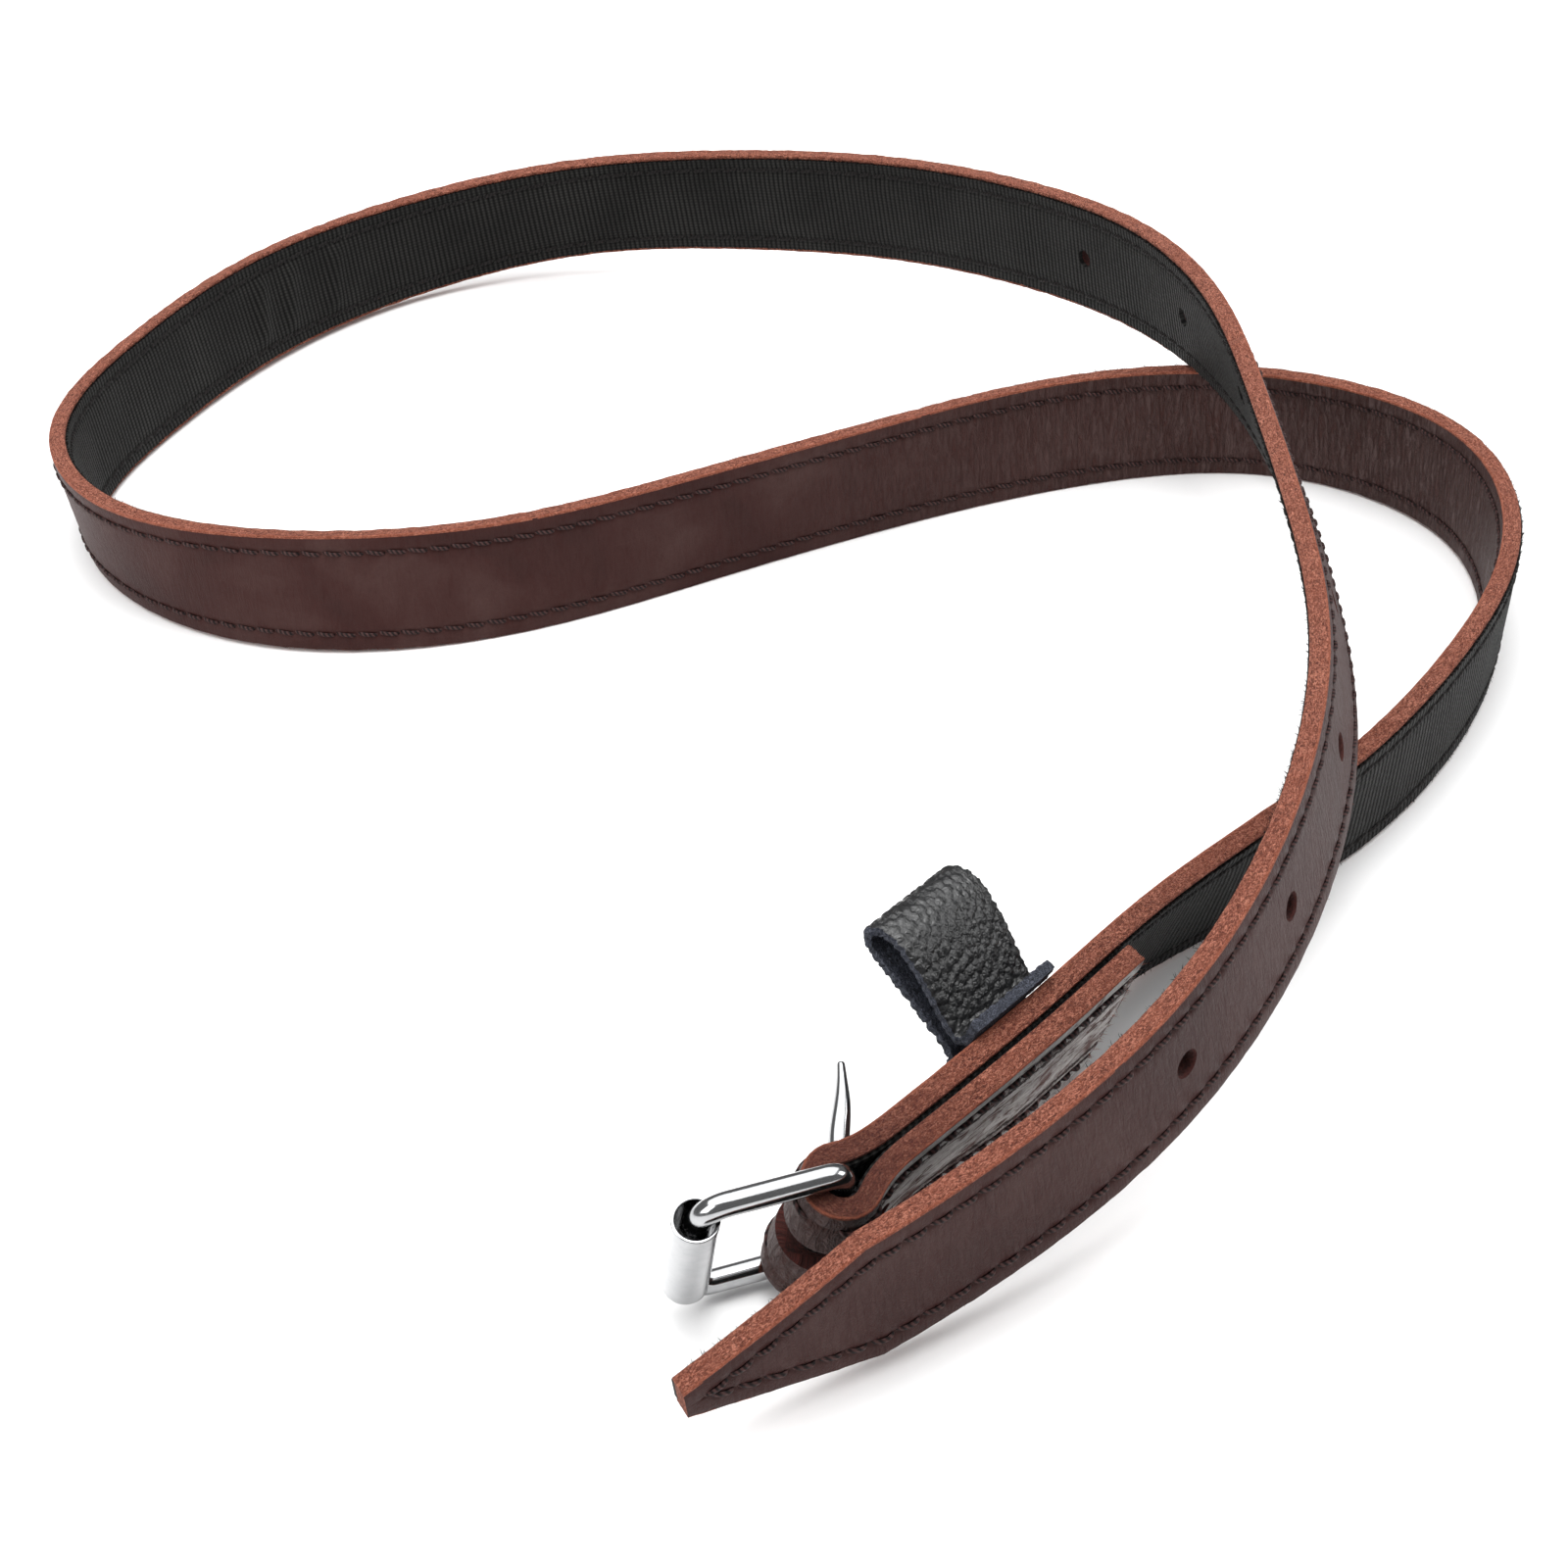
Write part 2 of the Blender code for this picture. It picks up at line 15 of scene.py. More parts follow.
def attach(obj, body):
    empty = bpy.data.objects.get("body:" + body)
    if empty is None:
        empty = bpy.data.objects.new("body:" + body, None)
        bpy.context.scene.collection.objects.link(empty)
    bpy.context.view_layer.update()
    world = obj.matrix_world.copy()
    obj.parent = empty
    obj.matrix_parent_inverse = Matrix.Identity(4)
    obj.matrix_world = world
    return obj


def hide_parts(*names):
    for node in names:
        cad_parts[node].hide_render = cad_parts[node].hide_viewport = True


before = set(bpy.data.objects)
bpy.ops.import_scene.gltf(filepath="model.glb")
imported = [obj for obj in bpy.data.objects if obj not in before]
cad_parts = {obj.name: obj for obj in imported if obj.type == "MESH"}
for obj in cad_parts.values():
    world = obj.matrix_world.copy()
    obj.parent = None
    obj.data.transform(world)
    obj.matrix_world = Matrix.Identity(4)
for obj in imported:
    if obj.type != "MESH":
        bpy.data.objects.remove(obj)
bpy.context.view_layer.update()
scene = bpy.context.scene
rng = np.random.default_rng(11)

MM = 0.001
GAP = 0.3 * MM      # between touching pieces of the frame

# ---------------- dimensions, as the frame has them
STRAP_WIDTH = 25.0 * MM
LEATHER = 2.9 * MM
LINING = 0.6 * MM
SEAM_INSET = 3.5 * MM
POINT_LENGTH = 30.0 * MM
POINT_WIDTH = 5.4 * MM
HOLE_RADIUS = 2.0 * MM
HOLE_PLACES = [m * MM for m in (935, 979, 1020, 1061, 1101, 1141, 1178, 1212)]
WIRE_RADIUS = 1.85 * MM
FRAME_WIDTH = 30.2 * MM
FRAME_DEPTH = 21.0 * MM
HEEL_CORNER = 2.6 * MM
FRONT_CORNER = 4.2 * MM
ROLLER_RADIUS = 3.5 * MM
ROLLER_WALL = 0.5 * MM
ROLLER_LENGTH = 24.4 * MM
ROLLER_SHIFT = 0.4 * MM         # the loose roller hangs this far outside the front bar's centre
TONGUE_EYE_RADIUS = 1.25 * MM   # the wire of the eye round the heel bar
# Middle line and thickness of the prong after the eye: out from the bar, beside it, and radius, in mm.
PRONG = [(3, -3.1, 1.3), (6, -1.7, 1.45), (9, -0.6, 1.6), (12, -0.35, 1.6), (15, -0.45, 1.5),
         (18, -0.5, 1.25), (21, -0.3, 0.9), (24, 0.0, 0.65)]
TAIL_LENGTH = 64.0 * MM
PINCH = math.radians(25)        # each layer leaves the bar turned this far inwards
CLOSED_AT = 14.0 * MM           # where the two layers have come together
LOWER_FLARE = 1.1 * MM          # the loose fold is this much wider at its lower edge,
LOWER_DROP = 1.0 * MM           # and hangs this much further out there
TAIL_OPENING = 2.4 * MM         # the folded end's lower edge stands this far off the strap,
OPEN_AT = 44.0 * MM             # from here on
BAR_TILT = math.tan(math.radians(5))
BAR_RISE = 0.2 * MM             # the buckle's middle, above the middle of the strap
SLOT_WIDTH = 5.5 * MM
SLOT_ON_TAIL = 8.5 * MM
SLOT_ON_STRAP = 15.0 * MM
KEEPER_PLACE = 38.7 * MM
KEEPER_WIDTH = 17.4 * MM
KEEPER_LEATHER = 1.8 * MM
FRAME_TURN = math.radians(-26.0)
TONGUE_TURN = math.radians(-111.0)

# Route of the leather's middle line: x, y, z in mm, and the lean of the upper edge in degrees.
SHIFT = (3.7, -37.7, 0.1)       # brings the route's own origin to the frame's
ROUTE = [
    (0, -129.4, 17, -23), (31.6, -98.5, 19, -26), (58.6, -65.7, 13.5, -22), (92, -39, 12.5, -10),
    (120.3, -7.3, 12.5, -4), (140, 31, 13, -5), (140.2, 74.8, 13, 1), (111, 104, 12.6, 5),
    (68, 107, 12.5, -2), (27, 94, 12.5, 1), (-13, 77, 12.5, 1), (-53, 62, 12.5, -3),
    (-96, 61, 13, -5), (-134, 81, 13, 7), (-151.6, 120, 12.7, 6), (-141, 161.6, 12.5, 8),
    (-119, 199, 13, 9), (-86, 226, 14, 1), (-44, 234, 18, -5), (-3, 223, 22, -2),
    (34, 200, 27, -1), (63, 169, 32, -2), (84.6, 132.5, 36.4, -5), (95.8, 90.7, 39.5, -12),
    (98.2, 47, 41, -19), (97, 3, 41, -19), (92.2, -40.2, 39, -14), (78.3, -80.3, 34, -8),
    (53.3, -115.2, 26, -1), (19, -140, 18, 4), (-19.9, -160, 12.4, 8),
]

FOLD_RADIUS = WIRE_RADIUS + 0.45 * MM + LINING + GAP + LEATHER / 2    # of the leather's middle, round the bar
FOLD_ARC = (math.pi + 2 * PINCH) * FOLD_RADIUS
JOIN = FOLD_RADIUS * math.sin(PINCH)
FOLD_END = JOIN - FOLD_ARC
CLOSED_LAYERS = LEATHER + 2 * LINING + 3 * GAP
TAIL_START = FOLD_END + JOIN - TAIL_LENGTH
SEAM_START = (JOIN + FOLD_END) / 2


# ---------------- the route
def unit(rows):
    """Rows scaled to length 1."""
    return rows / np.linalg.norm(rows, axis=-1, keepdims=True)


def column(values):
    return np.asarray(values)[:, None]


def run_length(points):
    """Distance along a line of points, at each point."""
    return np.concatenate([[0.0], np.cumsum(np.linalg.norm(np.diff(points, axis=0), axis=1))])


def spline(points, count):
    """Points read from a natural cubic spline over chord length, evenly by chord place."""
    points = np.array(points, float)
    places = run_length(points[:, :3])
    step = np.diff(places)
    rows = len(points)
    matrix = np.eye(rows)
    right = np.zeros(points.shape)
    for i in range(1, rows - 1):
        matrix[i, i - 1:i + 2] = step[i - 1], 2 * (step[i - 1] + step[i]), step[i]
        right[i] = 6 * ((points[i + 1] - points[i]) / step[i] - (points[i] - points[i - 1]) / step[i - 1])
    bends = np.linalg.solve(matrix, right)
    at = np.linspace(0, places[-1], count)
    i = np.clip(np.searchsorted(places, at) - 1, 0, rows - 2)
    span = column(step[i])
    a = column(places[i + 1] - at) / span
    b = 1 - a
    curve = ((a ** 3 - a) * bends[i] + (b ** 3 - b) * bends[i + 1]) * span ** 2 / 6
    return a * points[i] + b * points[i + 1] + curve


def even(points, count):
    """Points spaced evenly along a line of points, and the length."""
    length = run_length(points[:, :3])
    at = np.linspace(0, length[-1], count)
    return np.stack([np.interp(at, length, points[:, k]) for k in range(points.shape[1])], axis=-1), at


def smooth(share):
    """Eases from 0 to 1 without a corner at either end."""
    return share * share * (3 - 2 * share)


class Route:
    """Middle line of the leather with its cross direction and its grain-side normal."""

    def __init__(self, rows):
        rows = (np.array(rows, float) + (*SHIFT, 0)) * (MM, MM, MM, math.pi / 180)
        line, self.at = even(spline(rows, 2600), 2600)
        self.length = self.at[-1]
        self.point = line[:, :3]
        self.along = unit(np.gradient(self.point, self.at, axis=0))
        up = unit(np.array([0, 0, 1.0]) - self.along * self.along[:, 2:3])
        side = np.cross(up, self.along)
        lean = line[:, 3:4]
        self.across = np.cos(lean) * up + np.sin(lean) * side
        self.normal = np.cos(lean) * side - np.sin(lean) * up

    def main(self, places):
        """Point, along, across and normal on the strap proper."""
        return [np.stack([np.interp(places, self.at, table[:, k]) for k in range(3)], axis=-1)
                for table in (self.point, self.along, self.across, self.normal)]

    def half_gap(self, places):
        """Half the distance between the two layers beside the bar, its slope, and the looseness left."""
        share = np.clip((places - JOIN) / (CLOSED_AT - JOIN), 0.0, 1.0)
        start, drop = FOLD_RADIUS * math.cos(PINCH), -math.tan(PINCH) * (CLOSED_AT - JOIN)
        spread = start * (2 * share ** 3 - 3 * share ** 2 + 1) + drop * (share ** 3 - 2 * share ** 2 + share)
        spread += CLOSED_LAYERS / 2 * (3 * share ** 2 - 2 * share ** 3)
        slope = 6 * (start - CLOSED_LAYERS / 2) * (share ** 2 - share)
        slope += drop * (3 * share ** 2 - 4 * share + 1)
        return column(spread), column(slope / (CLOSED_AT - JOIN)), column(1 - smooth(share))

    def lay(self, flat):
        """Flat points (along, across, through) laid on the strap, the fold round the bar and the tail."""
        places = flat[:, 0]
        folded = (places < JOIN) & (places > FOLD_END)
        beside = np.where(places >= JOIN, places, JOIN + FOLD_END - places)
        point, along, across, normal = self.main(np.where(folded, 0.0, beside))
        spread, slope, left = self.half_gap(beside)
        angle = column((JOIN - places) / FOLD_RADIUS - PINCH)
        folded, strap = column(folded), column(places >= JOIN)
        outward = np.where(strap, unit(normal - along * slope), -unit(normal + along * slope))
        outward = np.where(folded, normal * np.cos(angle) - along * np.sin(angle), outward)
        away = np.where(strap, normal * (spread - CLOSED_LAYERS / 2), -normal * (spread + CLOSED_LAYERS / 2))
        away = np.where(folded, outward * FOLD_RADIUS - normal * CLOSED_LAYERS / 2, away)
        loose = (outward * LOWER_FLARE - along * LOWER_DROP) * np.where(folded, 1.0, left)
        share = column(np.clip((beside - CLOSED_AT) / (OPEN_AT - CLOSED_AT), 0.0, 1.0))
        loose = loose + outward * TAIL_OPENING * np.where(folded | strap, 0.0, smooth(share))
        point = point + away + loose / 2
        laid = point + (across - loose / STRAP_WIDTH) * flat[:, 1:2] + outward * flat[:, 2:3]
        laid[:, 2] = np.maximum(laid[:, 2], 0.0)      # nothing reaches under the floor
        return laid


route = Route(ROUTE)
STRAP_END = route.length


def half_width(places, full=STRAP_WIDTH):
    """Half the strip's width: it tapers towards the point."""
    share = np.clip((places - (STRAP_END - POINT_LENGTH)) / POINT_LENGTH, 0.0, 1.0)
    return full / 2 - share * (STRAP_WIDTH - POINT_WIDTH) / 2


def bell(distance, width):
    """1 at no distance, falling smoothly to nothing past the width."""
    return np.exp(-(distance / width) ** 2)


def waves(places, pitch, seed):
    """Smooth irregular waves along the strap, between about -1 and 1."""
    draw = np.random.default_rng(seed)
    total = np.zeros(np.shape(places))
    for k in range(3):
        for _ in range(3):
            rate = 2 * math.pi / (pitch * 0.6 ** k) * draw.uniform(0.7, 1.4)
            total += np.sin(places * rate + draw.uniform(0, 2 * math.pi)) * 0.6 ** k / 3
    return total


# ---------------- materials
class Shader:
    """A material with short calls for the nodes used here."""

    def __init__(self, name, **constants):
        self.material = bpy.data.materials.new(name)
        self.material.use_nodes = True
        self.tree = self.material.node_tree
        self.main = self.tree.nodes["Principled BSDF"]
        for key, value in constants.items():
            self.main.inputs[key.replace("_", " ")].default_value = value

    def node(self, kind, inputs, output=0, **settings):
        made = self.tree.nodes.new("ShaderNode" + kind)
        for key, value in settings.items():
            setattr(made, key, value)
        for key, value in inputs.items():
            self.set(made.inputs[key], value)
        return made.outputs[output]

    def set(self, socket, value):
        if isinstance(value, bpy.types.NodeSocket):
            self.tree.links.new(value, socket)
        elif socket.type == "RGBA" and len(value) == 3:
            socket.default_value = (*value, 1.0)
        else:
            socket.default_value = value

    def place(self, scale=(1, 1, 1), turn=0.0):
        """The flat place on the piece in mm, stretched by the scale."""
        flat = self.node("Attribute", {}, "Vector", attribute_name="flat")
        rotation = (0, 0, math.radians(turn))
        return self.node("Mapping", {"Vector": flat, "Scale": scale, "Rotation": rotation})

    def noise(self, scale, vector, detail, roughness, distortion=0.0):
        return self.node("TexNoise", {"Vector": vector, "Scale": scale, "Detail": detail,
                                      "Roughness": roughness, "Distortion": distortion})

    def cells(self, scale, vector, feature="F1"):
        return self.node("TexVoronoi", {"Vector": vector, "Scale": scale}, "Distance", feature=feature)

    def wave(self, scale, vector, distortion, direction, detail_scale):
        return self.node("TexWave", {"Vector": vector, "Scale": scale, "Distortion": distortion,
                                     "Detail": 2.0, "Detail Scale": detail_scale},
                         1, bands_direction=direction)

    def split(self, vector, axis):
        return self.node("SeparateXYZ", {"Vector": vector}, axis)

    def math(self, operation, a, b=0.0):
        return self.node("Math", {0: a, 1: b}, operation=operation)

    def span(self, value, low, high, out_low=0.0, out_high=1.0):
        return self.node("MapRange", {"Value": value, "From Min": low, "From Max": high,
                                      "To Min": out_low, "To Max": out_high})

    def mix(self, share, a, b, blend="MIX"):
        return self.node("MixRGB", {"Fac": share, "Color1": a, "Color2": b}, blend_type=blend)

    def ramp(self, value, stops):
        made = self.tree.nodes.new("ShaderNodeValToRGB")
        steps = made.color_ramp.elements
        while len(steps) < len(stops):
            steps.new(0.5)
        for step, (position, colour) in zip(steps, stops):
            step.position = position
            step.color = (*colour, 1.0)
        self.tree.links.new(value, made.inputs[0])
        return made.outputs[0]

    def finish(self, colour, roughness, bumps):
        """Links colour and roughness, and stacks the bumps (height, strength, distance in mm)."""
        self.set(self.main.inputs["Base Color"], colour)
        if roughness is not None:
            self.set(self.main.inputs["Roughness"], roughness)
        below = {}
        for height, strength, distance in bumps:
            normal = self.node("Bump", {"Height": height, "Strength": strength, "Distance": distance * MM,
                                        **below})
            below = {"Normal": normal}
        self.set(self.main.inputs["Normal"], normal)
        return self.material


def grain_material(name, dark, middle, light, roughness):
    """Finished leather face: fine pores, faint clouds and scratches, creases where the strap was bent, and a
    painted sheen between 900 and 1160 mm along.
    """
    made = Shader(name, Specular_IOR_Level=0.075)
    place = made.place()
    clouds = made.noise(0.045, place, 5.0, 0.55, 0.6)
    fine = made.noise(1.6, place, 5.0, 0.7)
    pores = made.cells(2.4, place)
    scratches = made.noise(0.9, made.place((0.05, 1.6, 1)), 3.0, 0.75)
    creases = made.noise(1.0, made.place((1.15, 0.22, 1)), 4.0, 0.7, 0.8)
    along = made.split(place, 0)
    bent = made.math("MAXIMUM", made.span(along, 420, 300, 0.12, 1.0),
                     made.span(along, 900, 1020, 0.12, 0.22))
    worn = made.math("MULTIPLY", made.span(creases, 0.34, 0.60), bent)
    colour = made.ramp(clouds, [(0.30, dark), (0.5, middle), (0.72, light)])
    colour = made.mix(made.span(along, 420, 300, 0.0, 0.40), colour, (0.080, 0.044, 0.038))
    colour = made.mix(made.span(fine, 0.35, 0.7, 0.0, 0.30), colour, dark)
    colour = made.mix(made.span(scratches, 0.62, 0.8, 0.0, 0.25), colour, light)
    colour = made.mix(made.math("MULTIPLY", worn, 0.8), colour, (0.080, 0.052, 0.049))
    # Painted sheen: a neutral grey added to the colour from 900 to 1160 mm along, standing in for a stronger
    # reflection there.
    painted_sheen = made.math("MINIMUM", made.span(along, 900, 1000), made.span(along, 1000, 1160, 1.0, 0.0))
    colour = made.mix(painted_sheen, colour, (0.022, 0.022, 0.022), "ADD")
    rough = made.math("ADD", made.span(clouds, 0.3, 0.7, roughness - 0.03, roughness + 0.04),
                      made.span(fine, 0.3, 0.7, -0.05, 0.06))
    return made.finish(colour, rough, [(clouds, 0.12, 0.4), (fine, 0.25, 0.10), (pores, 0.22, 0.10),
                                       (scratches, 0.15, 0.06), (worn, 1.0, 0.45)])


def worn_material(name):
    """Pale face of the folded tail: finish rubbed off, brown stains, ragged streaks along the stitch rows."""
    made = Shader(name, Specular_IOR_Level=0.15)
    place = made.place()
    streaks = made.noise(0.55, made.place((0.24, 1, 1)), 6.0, 0.75, 1.2)
    fine = made.noise(1.7, place, 5.0, 0.75)
    colour = made.ramp(streaks, [(0.36, (0.022, 0.007, 0.006)), (0.43, (0.10, 0.050, 0.042)),
                                 (0.48, (0.46, 0.425, 0.41)), (0.68, (0.68, 0.65, 0.635))])
    across = made.math("ABSOLUTE", made.split(place, 1))
    row = made.math("ABSOLUTE", made.math("SUBTRACT", across, 9.0))
    row = made.math("MINIMUM", row, made.math("ABSOLUTE", made.math("SUBTRACT", across, 6.4)))
    torn = made.math("ADD", row, made.span(fine, 0.3, 0.7, 0.9, -0.9))
    colour = made.mix(made.span(torn, 0.95, 0.45), colour, (0.020, 0.006, 0.005))
    pale = made.math("MULTIPLY", made.span(across, 9.6, 10.2), made.span(streaks, 0.36, 0.46))
    colour = made.mix(pale, colour, (0.60, 0.58, 0.565))
    reds = made.noise(0.16, place, 3.0, 0.6)
    colour = made.mix(made.span(reds, 0.56, 0.66, 0.0, 0.8), colour, (0.085, 0.016, 0.011))
    colour = made.mix(made.span(fine, 0.45, 0.75, 0.0, 0.5), colour, (0.07, 0.045, 0.04))
    rough = made.span(fine, 0.3, 0.7, 0.55, 0.8)
    return made.finish(colour, rough, [(streaks, 1.0, 0.9), (fine, 0.6, 0.2)])


def raw_material(name, shade, middle, bright, edge_line, fold_darkening=0.0):
    """Cut edge of the leather: fibres that sparkle, darker pits, a bright line beside the grain."""
    made = Shader(name, Roughness=0.9, Sheen_Weight=0.05, Sheen_Roughness=0.6, Specular_IOR_Level=0.15)
    place = made.place()
    fibres = made.noise(1.9, made.place((0.6, 1, 1.5), 12), 6.0, 0.82, 1.6)
    pits = made.noise(2.2, place, 3.0, 0.7)
    patches = made.noise(0.10, place, 3.0, 0.5)
    colour = made.ramp(fibres, [(0.41, shade), (0.50, middle), (0.59, bright)])
    colour = made.mix(made.span(pits, 0.50, 0.68, 0.0, 0.7), colour, shade)
    colour = made.mix(made.span(patches, 0.35, 0.7, 0.0, 0.25), colour, middle)
    along = made.split(place, 0)
    # The edge turns towards the darkest colour around the fold, fully from -20 to 6 mm along and fading out
    # by -44 and 30 mm.
    fold = made.math("MINIMUM", made.span(along, 30, 6, 0.0, fold_darkening), made.span(along, -44, -20, 0.0, fold_darkening))
    colour = made.mix(fold, colour, shade)
    depth = made.split(place, 2)
    rim = made.math("MULTIPLY", made.span(depth, 0.95, 1.15), made.span(depth, 1.50, 1.30))
    colour = made.mix(made.math("MULTIPLY", rim, 0.45), colour, edge_line)
    return made.finish(colour, None, [(fibres, 1.0, 0.5), (pits, 0.9, 0.35)])


def webbing_material(name, dark, light):
    """Ribbed nylon: ribs across the strap and fine yarns along it."""
    made = Shader(name, Sheen_Weight=0.02, Sheen_Roughness=0.4, Specular_IOR_Level=0.10)
    place = made.place()
    ribs = made.wave(0.24, place, 0.5, "X", 0.3)
    yarns = made.wave(0.42, place, 0.7, "Y", 0.5)
    fine = made.noise(2.2, place, 3.0, 0.6)
    clouds = made.noise(0.07, place, 3.0, 0.5)
    # The weave's colour runs from dark in the grooves to the light colour on the rib tops, following the
    # bump: painted shade and painted highlight.
    weave = made.math("MULTIPLY", made.span(ribs, 0, 1, 0.08, 1.0), made.span(yarns, 0, 1, 0.5, 1.0))
    colour = made.mix(weave, dark, light)
    colour = made.mix(made.span(clouds, 0.3, 0.7, 0.0, 0.4), colour, dark)
    rough = made.span(fine, 0.3, 0.7, 0.55, 0.8)
    return made.finish(colour, rough, [(ribs, 1.0, 0.30), (yarns, 0.5, 0.12), (fine, 0.4, 0.10)])


def thread_material(name, dark, light):
    """Twisted sewing thread, with painted highlights on its plies and painted shade between them."""
    made = Shader(name, Specular_IOR_Level=0.18)
    twist = made.wave(0.42, made.place((1, 1, 1), 35), 0.5, "X", 0.6)
    fine = made.noise(2.5, made.place(), 3.0, 0.6)
    # The raised plies take the light colour and the turns between them the dark one: painted highlight and
    # painted shade.
    colour = made.mix(twist, dark, light)
    colour = made.mix(made.span(fine, 0.4, 0.7, 0.0, 0.4), colour, dark)
    rough = made.span(fine, 0.3, 0.7, 0.55, 0.75)
    return made.finish(colour, rough, [(twist, 0.8, 0.15), (fine, 0.4, 0.06)])


def chrome_material(name):
    """Bright plating with the faintest waves, hairlines and wiped haze."""
    made = Shader(name, Metallic=1.0)
    place = made.place()
    waves_in = made.noise(0.16, place, 2.0, 0.5)
    haze = made.noise(0.5, place, 4.0, 0.65)
    hair = made.noise(1.4, made.place((0.15, 2.0, 2.0)), 3.0, 0.7)
    colour = made.mix(made.span(haze, 0.35, 0.75), (0.43, 0.433, 0.44), (0.36, 0.365, 0.375))
    rough = made.math("ADD", made.span(haze, 0.4, 0.8, 0.13, 0.20), made.span(hair, 0.6, 0.85, 0.0, 0.08))
    return made.finish(colour, rough, [(waves_in, 0.12, 0.25), (hair, 0.05, 0.02)])


def pebble_material(name, dark, light):
    """Black leather with large pebbles: the shape is in the mesh, the fine grain is here."""
    made = Shader(name, Specular_IOR_Level=0.65)
    place = made.place()
    fine = made.noise(1.5, place, 5.0, 0.7)
    creases = made.cells(1.5, place, "DISTANCE_TO_EDGE")
    colour = made.mix(made.span(fine, 0.35, 0.75), dark, light)
    rough = made.span(fine, 0.3, 0.7, 0.24, 0.42)
    return made.finish(colour, rough, [(made.span(creases, 0, 0.25), 0.35, 0.12), (fine, 0.4, 0.10)])


GRAIN = grain_material("strap_grain", (0.030, 0.0100, 0.0088), (0.040, 0.0138, 0.0122),
                       (0.060, 0.029, 0.026), 0.44)
BARE = worn_material("worn_grain")
RAW = raw_material("raw_edge", (0.050, 0.011, 0.007), (0.240, 0.062, 0.034), (0.64, 0.26, 0.17),
                   (0.36, 0.10, 0.052), fold_darkening=0.7)
FUZZ = raw_material("edge_fuzz", (0.16, 0.036, 0.022), (0.42, 0.13, 0.085), (0.75, 0.36, 0.26),
                    (0.50, 0.12, 0.045))
# Hole walls: the cut edge's colours made several times darker, painted shade inside the punched holes.
HOLE = raw_material("hole_wall_painted_shade", (0.014, 0.004, 0.003), (0.045, 0.010, 0.008), (0.10, 0.024, 0.018),
                    (0.1, 0.02, 0.015))
WEBBING = webbing_material("black_webbing_weave", (0.0014, 0.0013, 0.0012), (0.034, 0.033, 0.031))
FRAY = webbing_material("frayed_yarn", (0.0040, 0.0030, 0.0028), (0.016, 0.012, 0.011))
STITCH = thread_material("brown_thread_twist", (0.0035, 0.0016, 0.0015), (0.070, 0.032, 0.030))
BLACK_STITCH = thread_material("dark_thread_twist", (0.0025, 0.0020, 0.0019), (0.012, 0.0095, 0.0090))
PEBBLE = pebble_material("pebbled_black", (0.0022, 0.0024, 0.0028), (0.007, 0.0074, 0.0085))
KEEPER_RAW = raw_material("keeper_raw", (0.006, 0.007, 0.010), (0.040, 0.045, 0.064), (0.15, 0.16, 0.20),
                          (0.03, 0.035, 0.05))
CHROME = chrome_material("bright_chrome")
FLOOR = Shader("pale_floor", Base_Color=(0.92, 0.92, 0.92, 1.0), Roughness=0.7).material


# ---------------- making pieces
def turn_outwards(mesh):
    """Turns the faces of closed solids outwards."""
    bm = bmesh.new()
    bm.from_mesh(mesh)
    bmesh.ops.recalc_face_normals(bm, faces=bm.faces)
    bm.to_mesh(mesh)
    bm.free()


def linked(name, data):
    """A new object in the scene."""
    obj = bpy.data.objects.new(name, data)
    scene.collection.objects.link(obj)
    return obj


def mesh_object(name, points, faces):
    mesh = bpy.data.meshes.new(name)
    mesh.from_pydata([tuple(p) for p in points], [], faces)
    return linked(name, mesh)


def piece(name, body, replaced, points, faces, materials, flat, picks=None, sharp=60):
    """A mesh piece with its flat places (mm) kept for the materials, riding on its body."""
    obj = mesh_object(name, points, faces)
    mesh = obj.data
    store = mesh.attributes.new("flat", "FLOAT_VECTOR", "POINT")
    store.data.foreach_set("vector", (np.asarray(flat, float) / MM).ravel())
    for made in materials:
        mesh.materials.append(made)
    if picks is not None:
        mesh.polygons.foreach_set("material_index", np.asarray(picks, int))
    mesh.shade_smooth()
    mesh.set_sharp_from_angle(angle=math.radians(sharp))
    turn_outwards(mesh)
    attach(obj, body)
    if replaced:
        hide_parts(*replaced)
    return obj


def grid_faces(rows, ring, closed_rows=False):
    """Quads over rows of closed rings, with end caps unless the rows close too."""
    a = np.arange(rows * ring).reshape(rows, ring)
    if closed_rows:
        a = np.vstack([a, a[:1]])
    b = np.roll(a, -1, axis=1)
    quads = np.stack([a[:-1], b[:-1], b[1:], a[1:]], axis=-1).reshape(-1, 4).tolist()
    if not closed_rows:
        quads += [a[0][::-1].tolist(), a[-1].tolist()]
    return quads


def repeated(faces, count, step):
    """The faces of many equal solids whose points follow one another."""
    return [[v + k * step for v in face] for k in range(count) for face in faces]


def ring_points(places, ring):
    """The same ring of (across, height) pairs at each place, as flat points."""
    columns = [np.stack([places, 0 * places + w, 0 * places + h], axis=-1) for w, h in ring]
    return np.stack(columns, axis=1).reshape(-1, 3)


def circle(sides):
    """Angles spread evenly round a circle."""
    return np.arange(sides) * 2 * math.pi / sides


def tube(line, radii, beside, other, sides):
    """Rings of points round a line, each in the plane of its two directions."""
    angles = column(circle(sides))
    ring = beside[:, None] * np.cos(angles) + other[:, None] * np.sin(angles)
    return (line[:, None] + radii * ring).reshape(-1, 3)


def hole_solid(profile, place):
    """Closed solid turned about z from (radius, height) pairs, top to bottom, at a place along the strap."""
    sides = 28
    angles = np.linspace(0, 2 * math.pi, sides, endpoint=False)
    points = np.array([(r * math.cos(t), r * math.sin(t), h) for r, h in profile for t in angles])
    return points + (place, 0, 0), grid_faces(len(profile), sides)


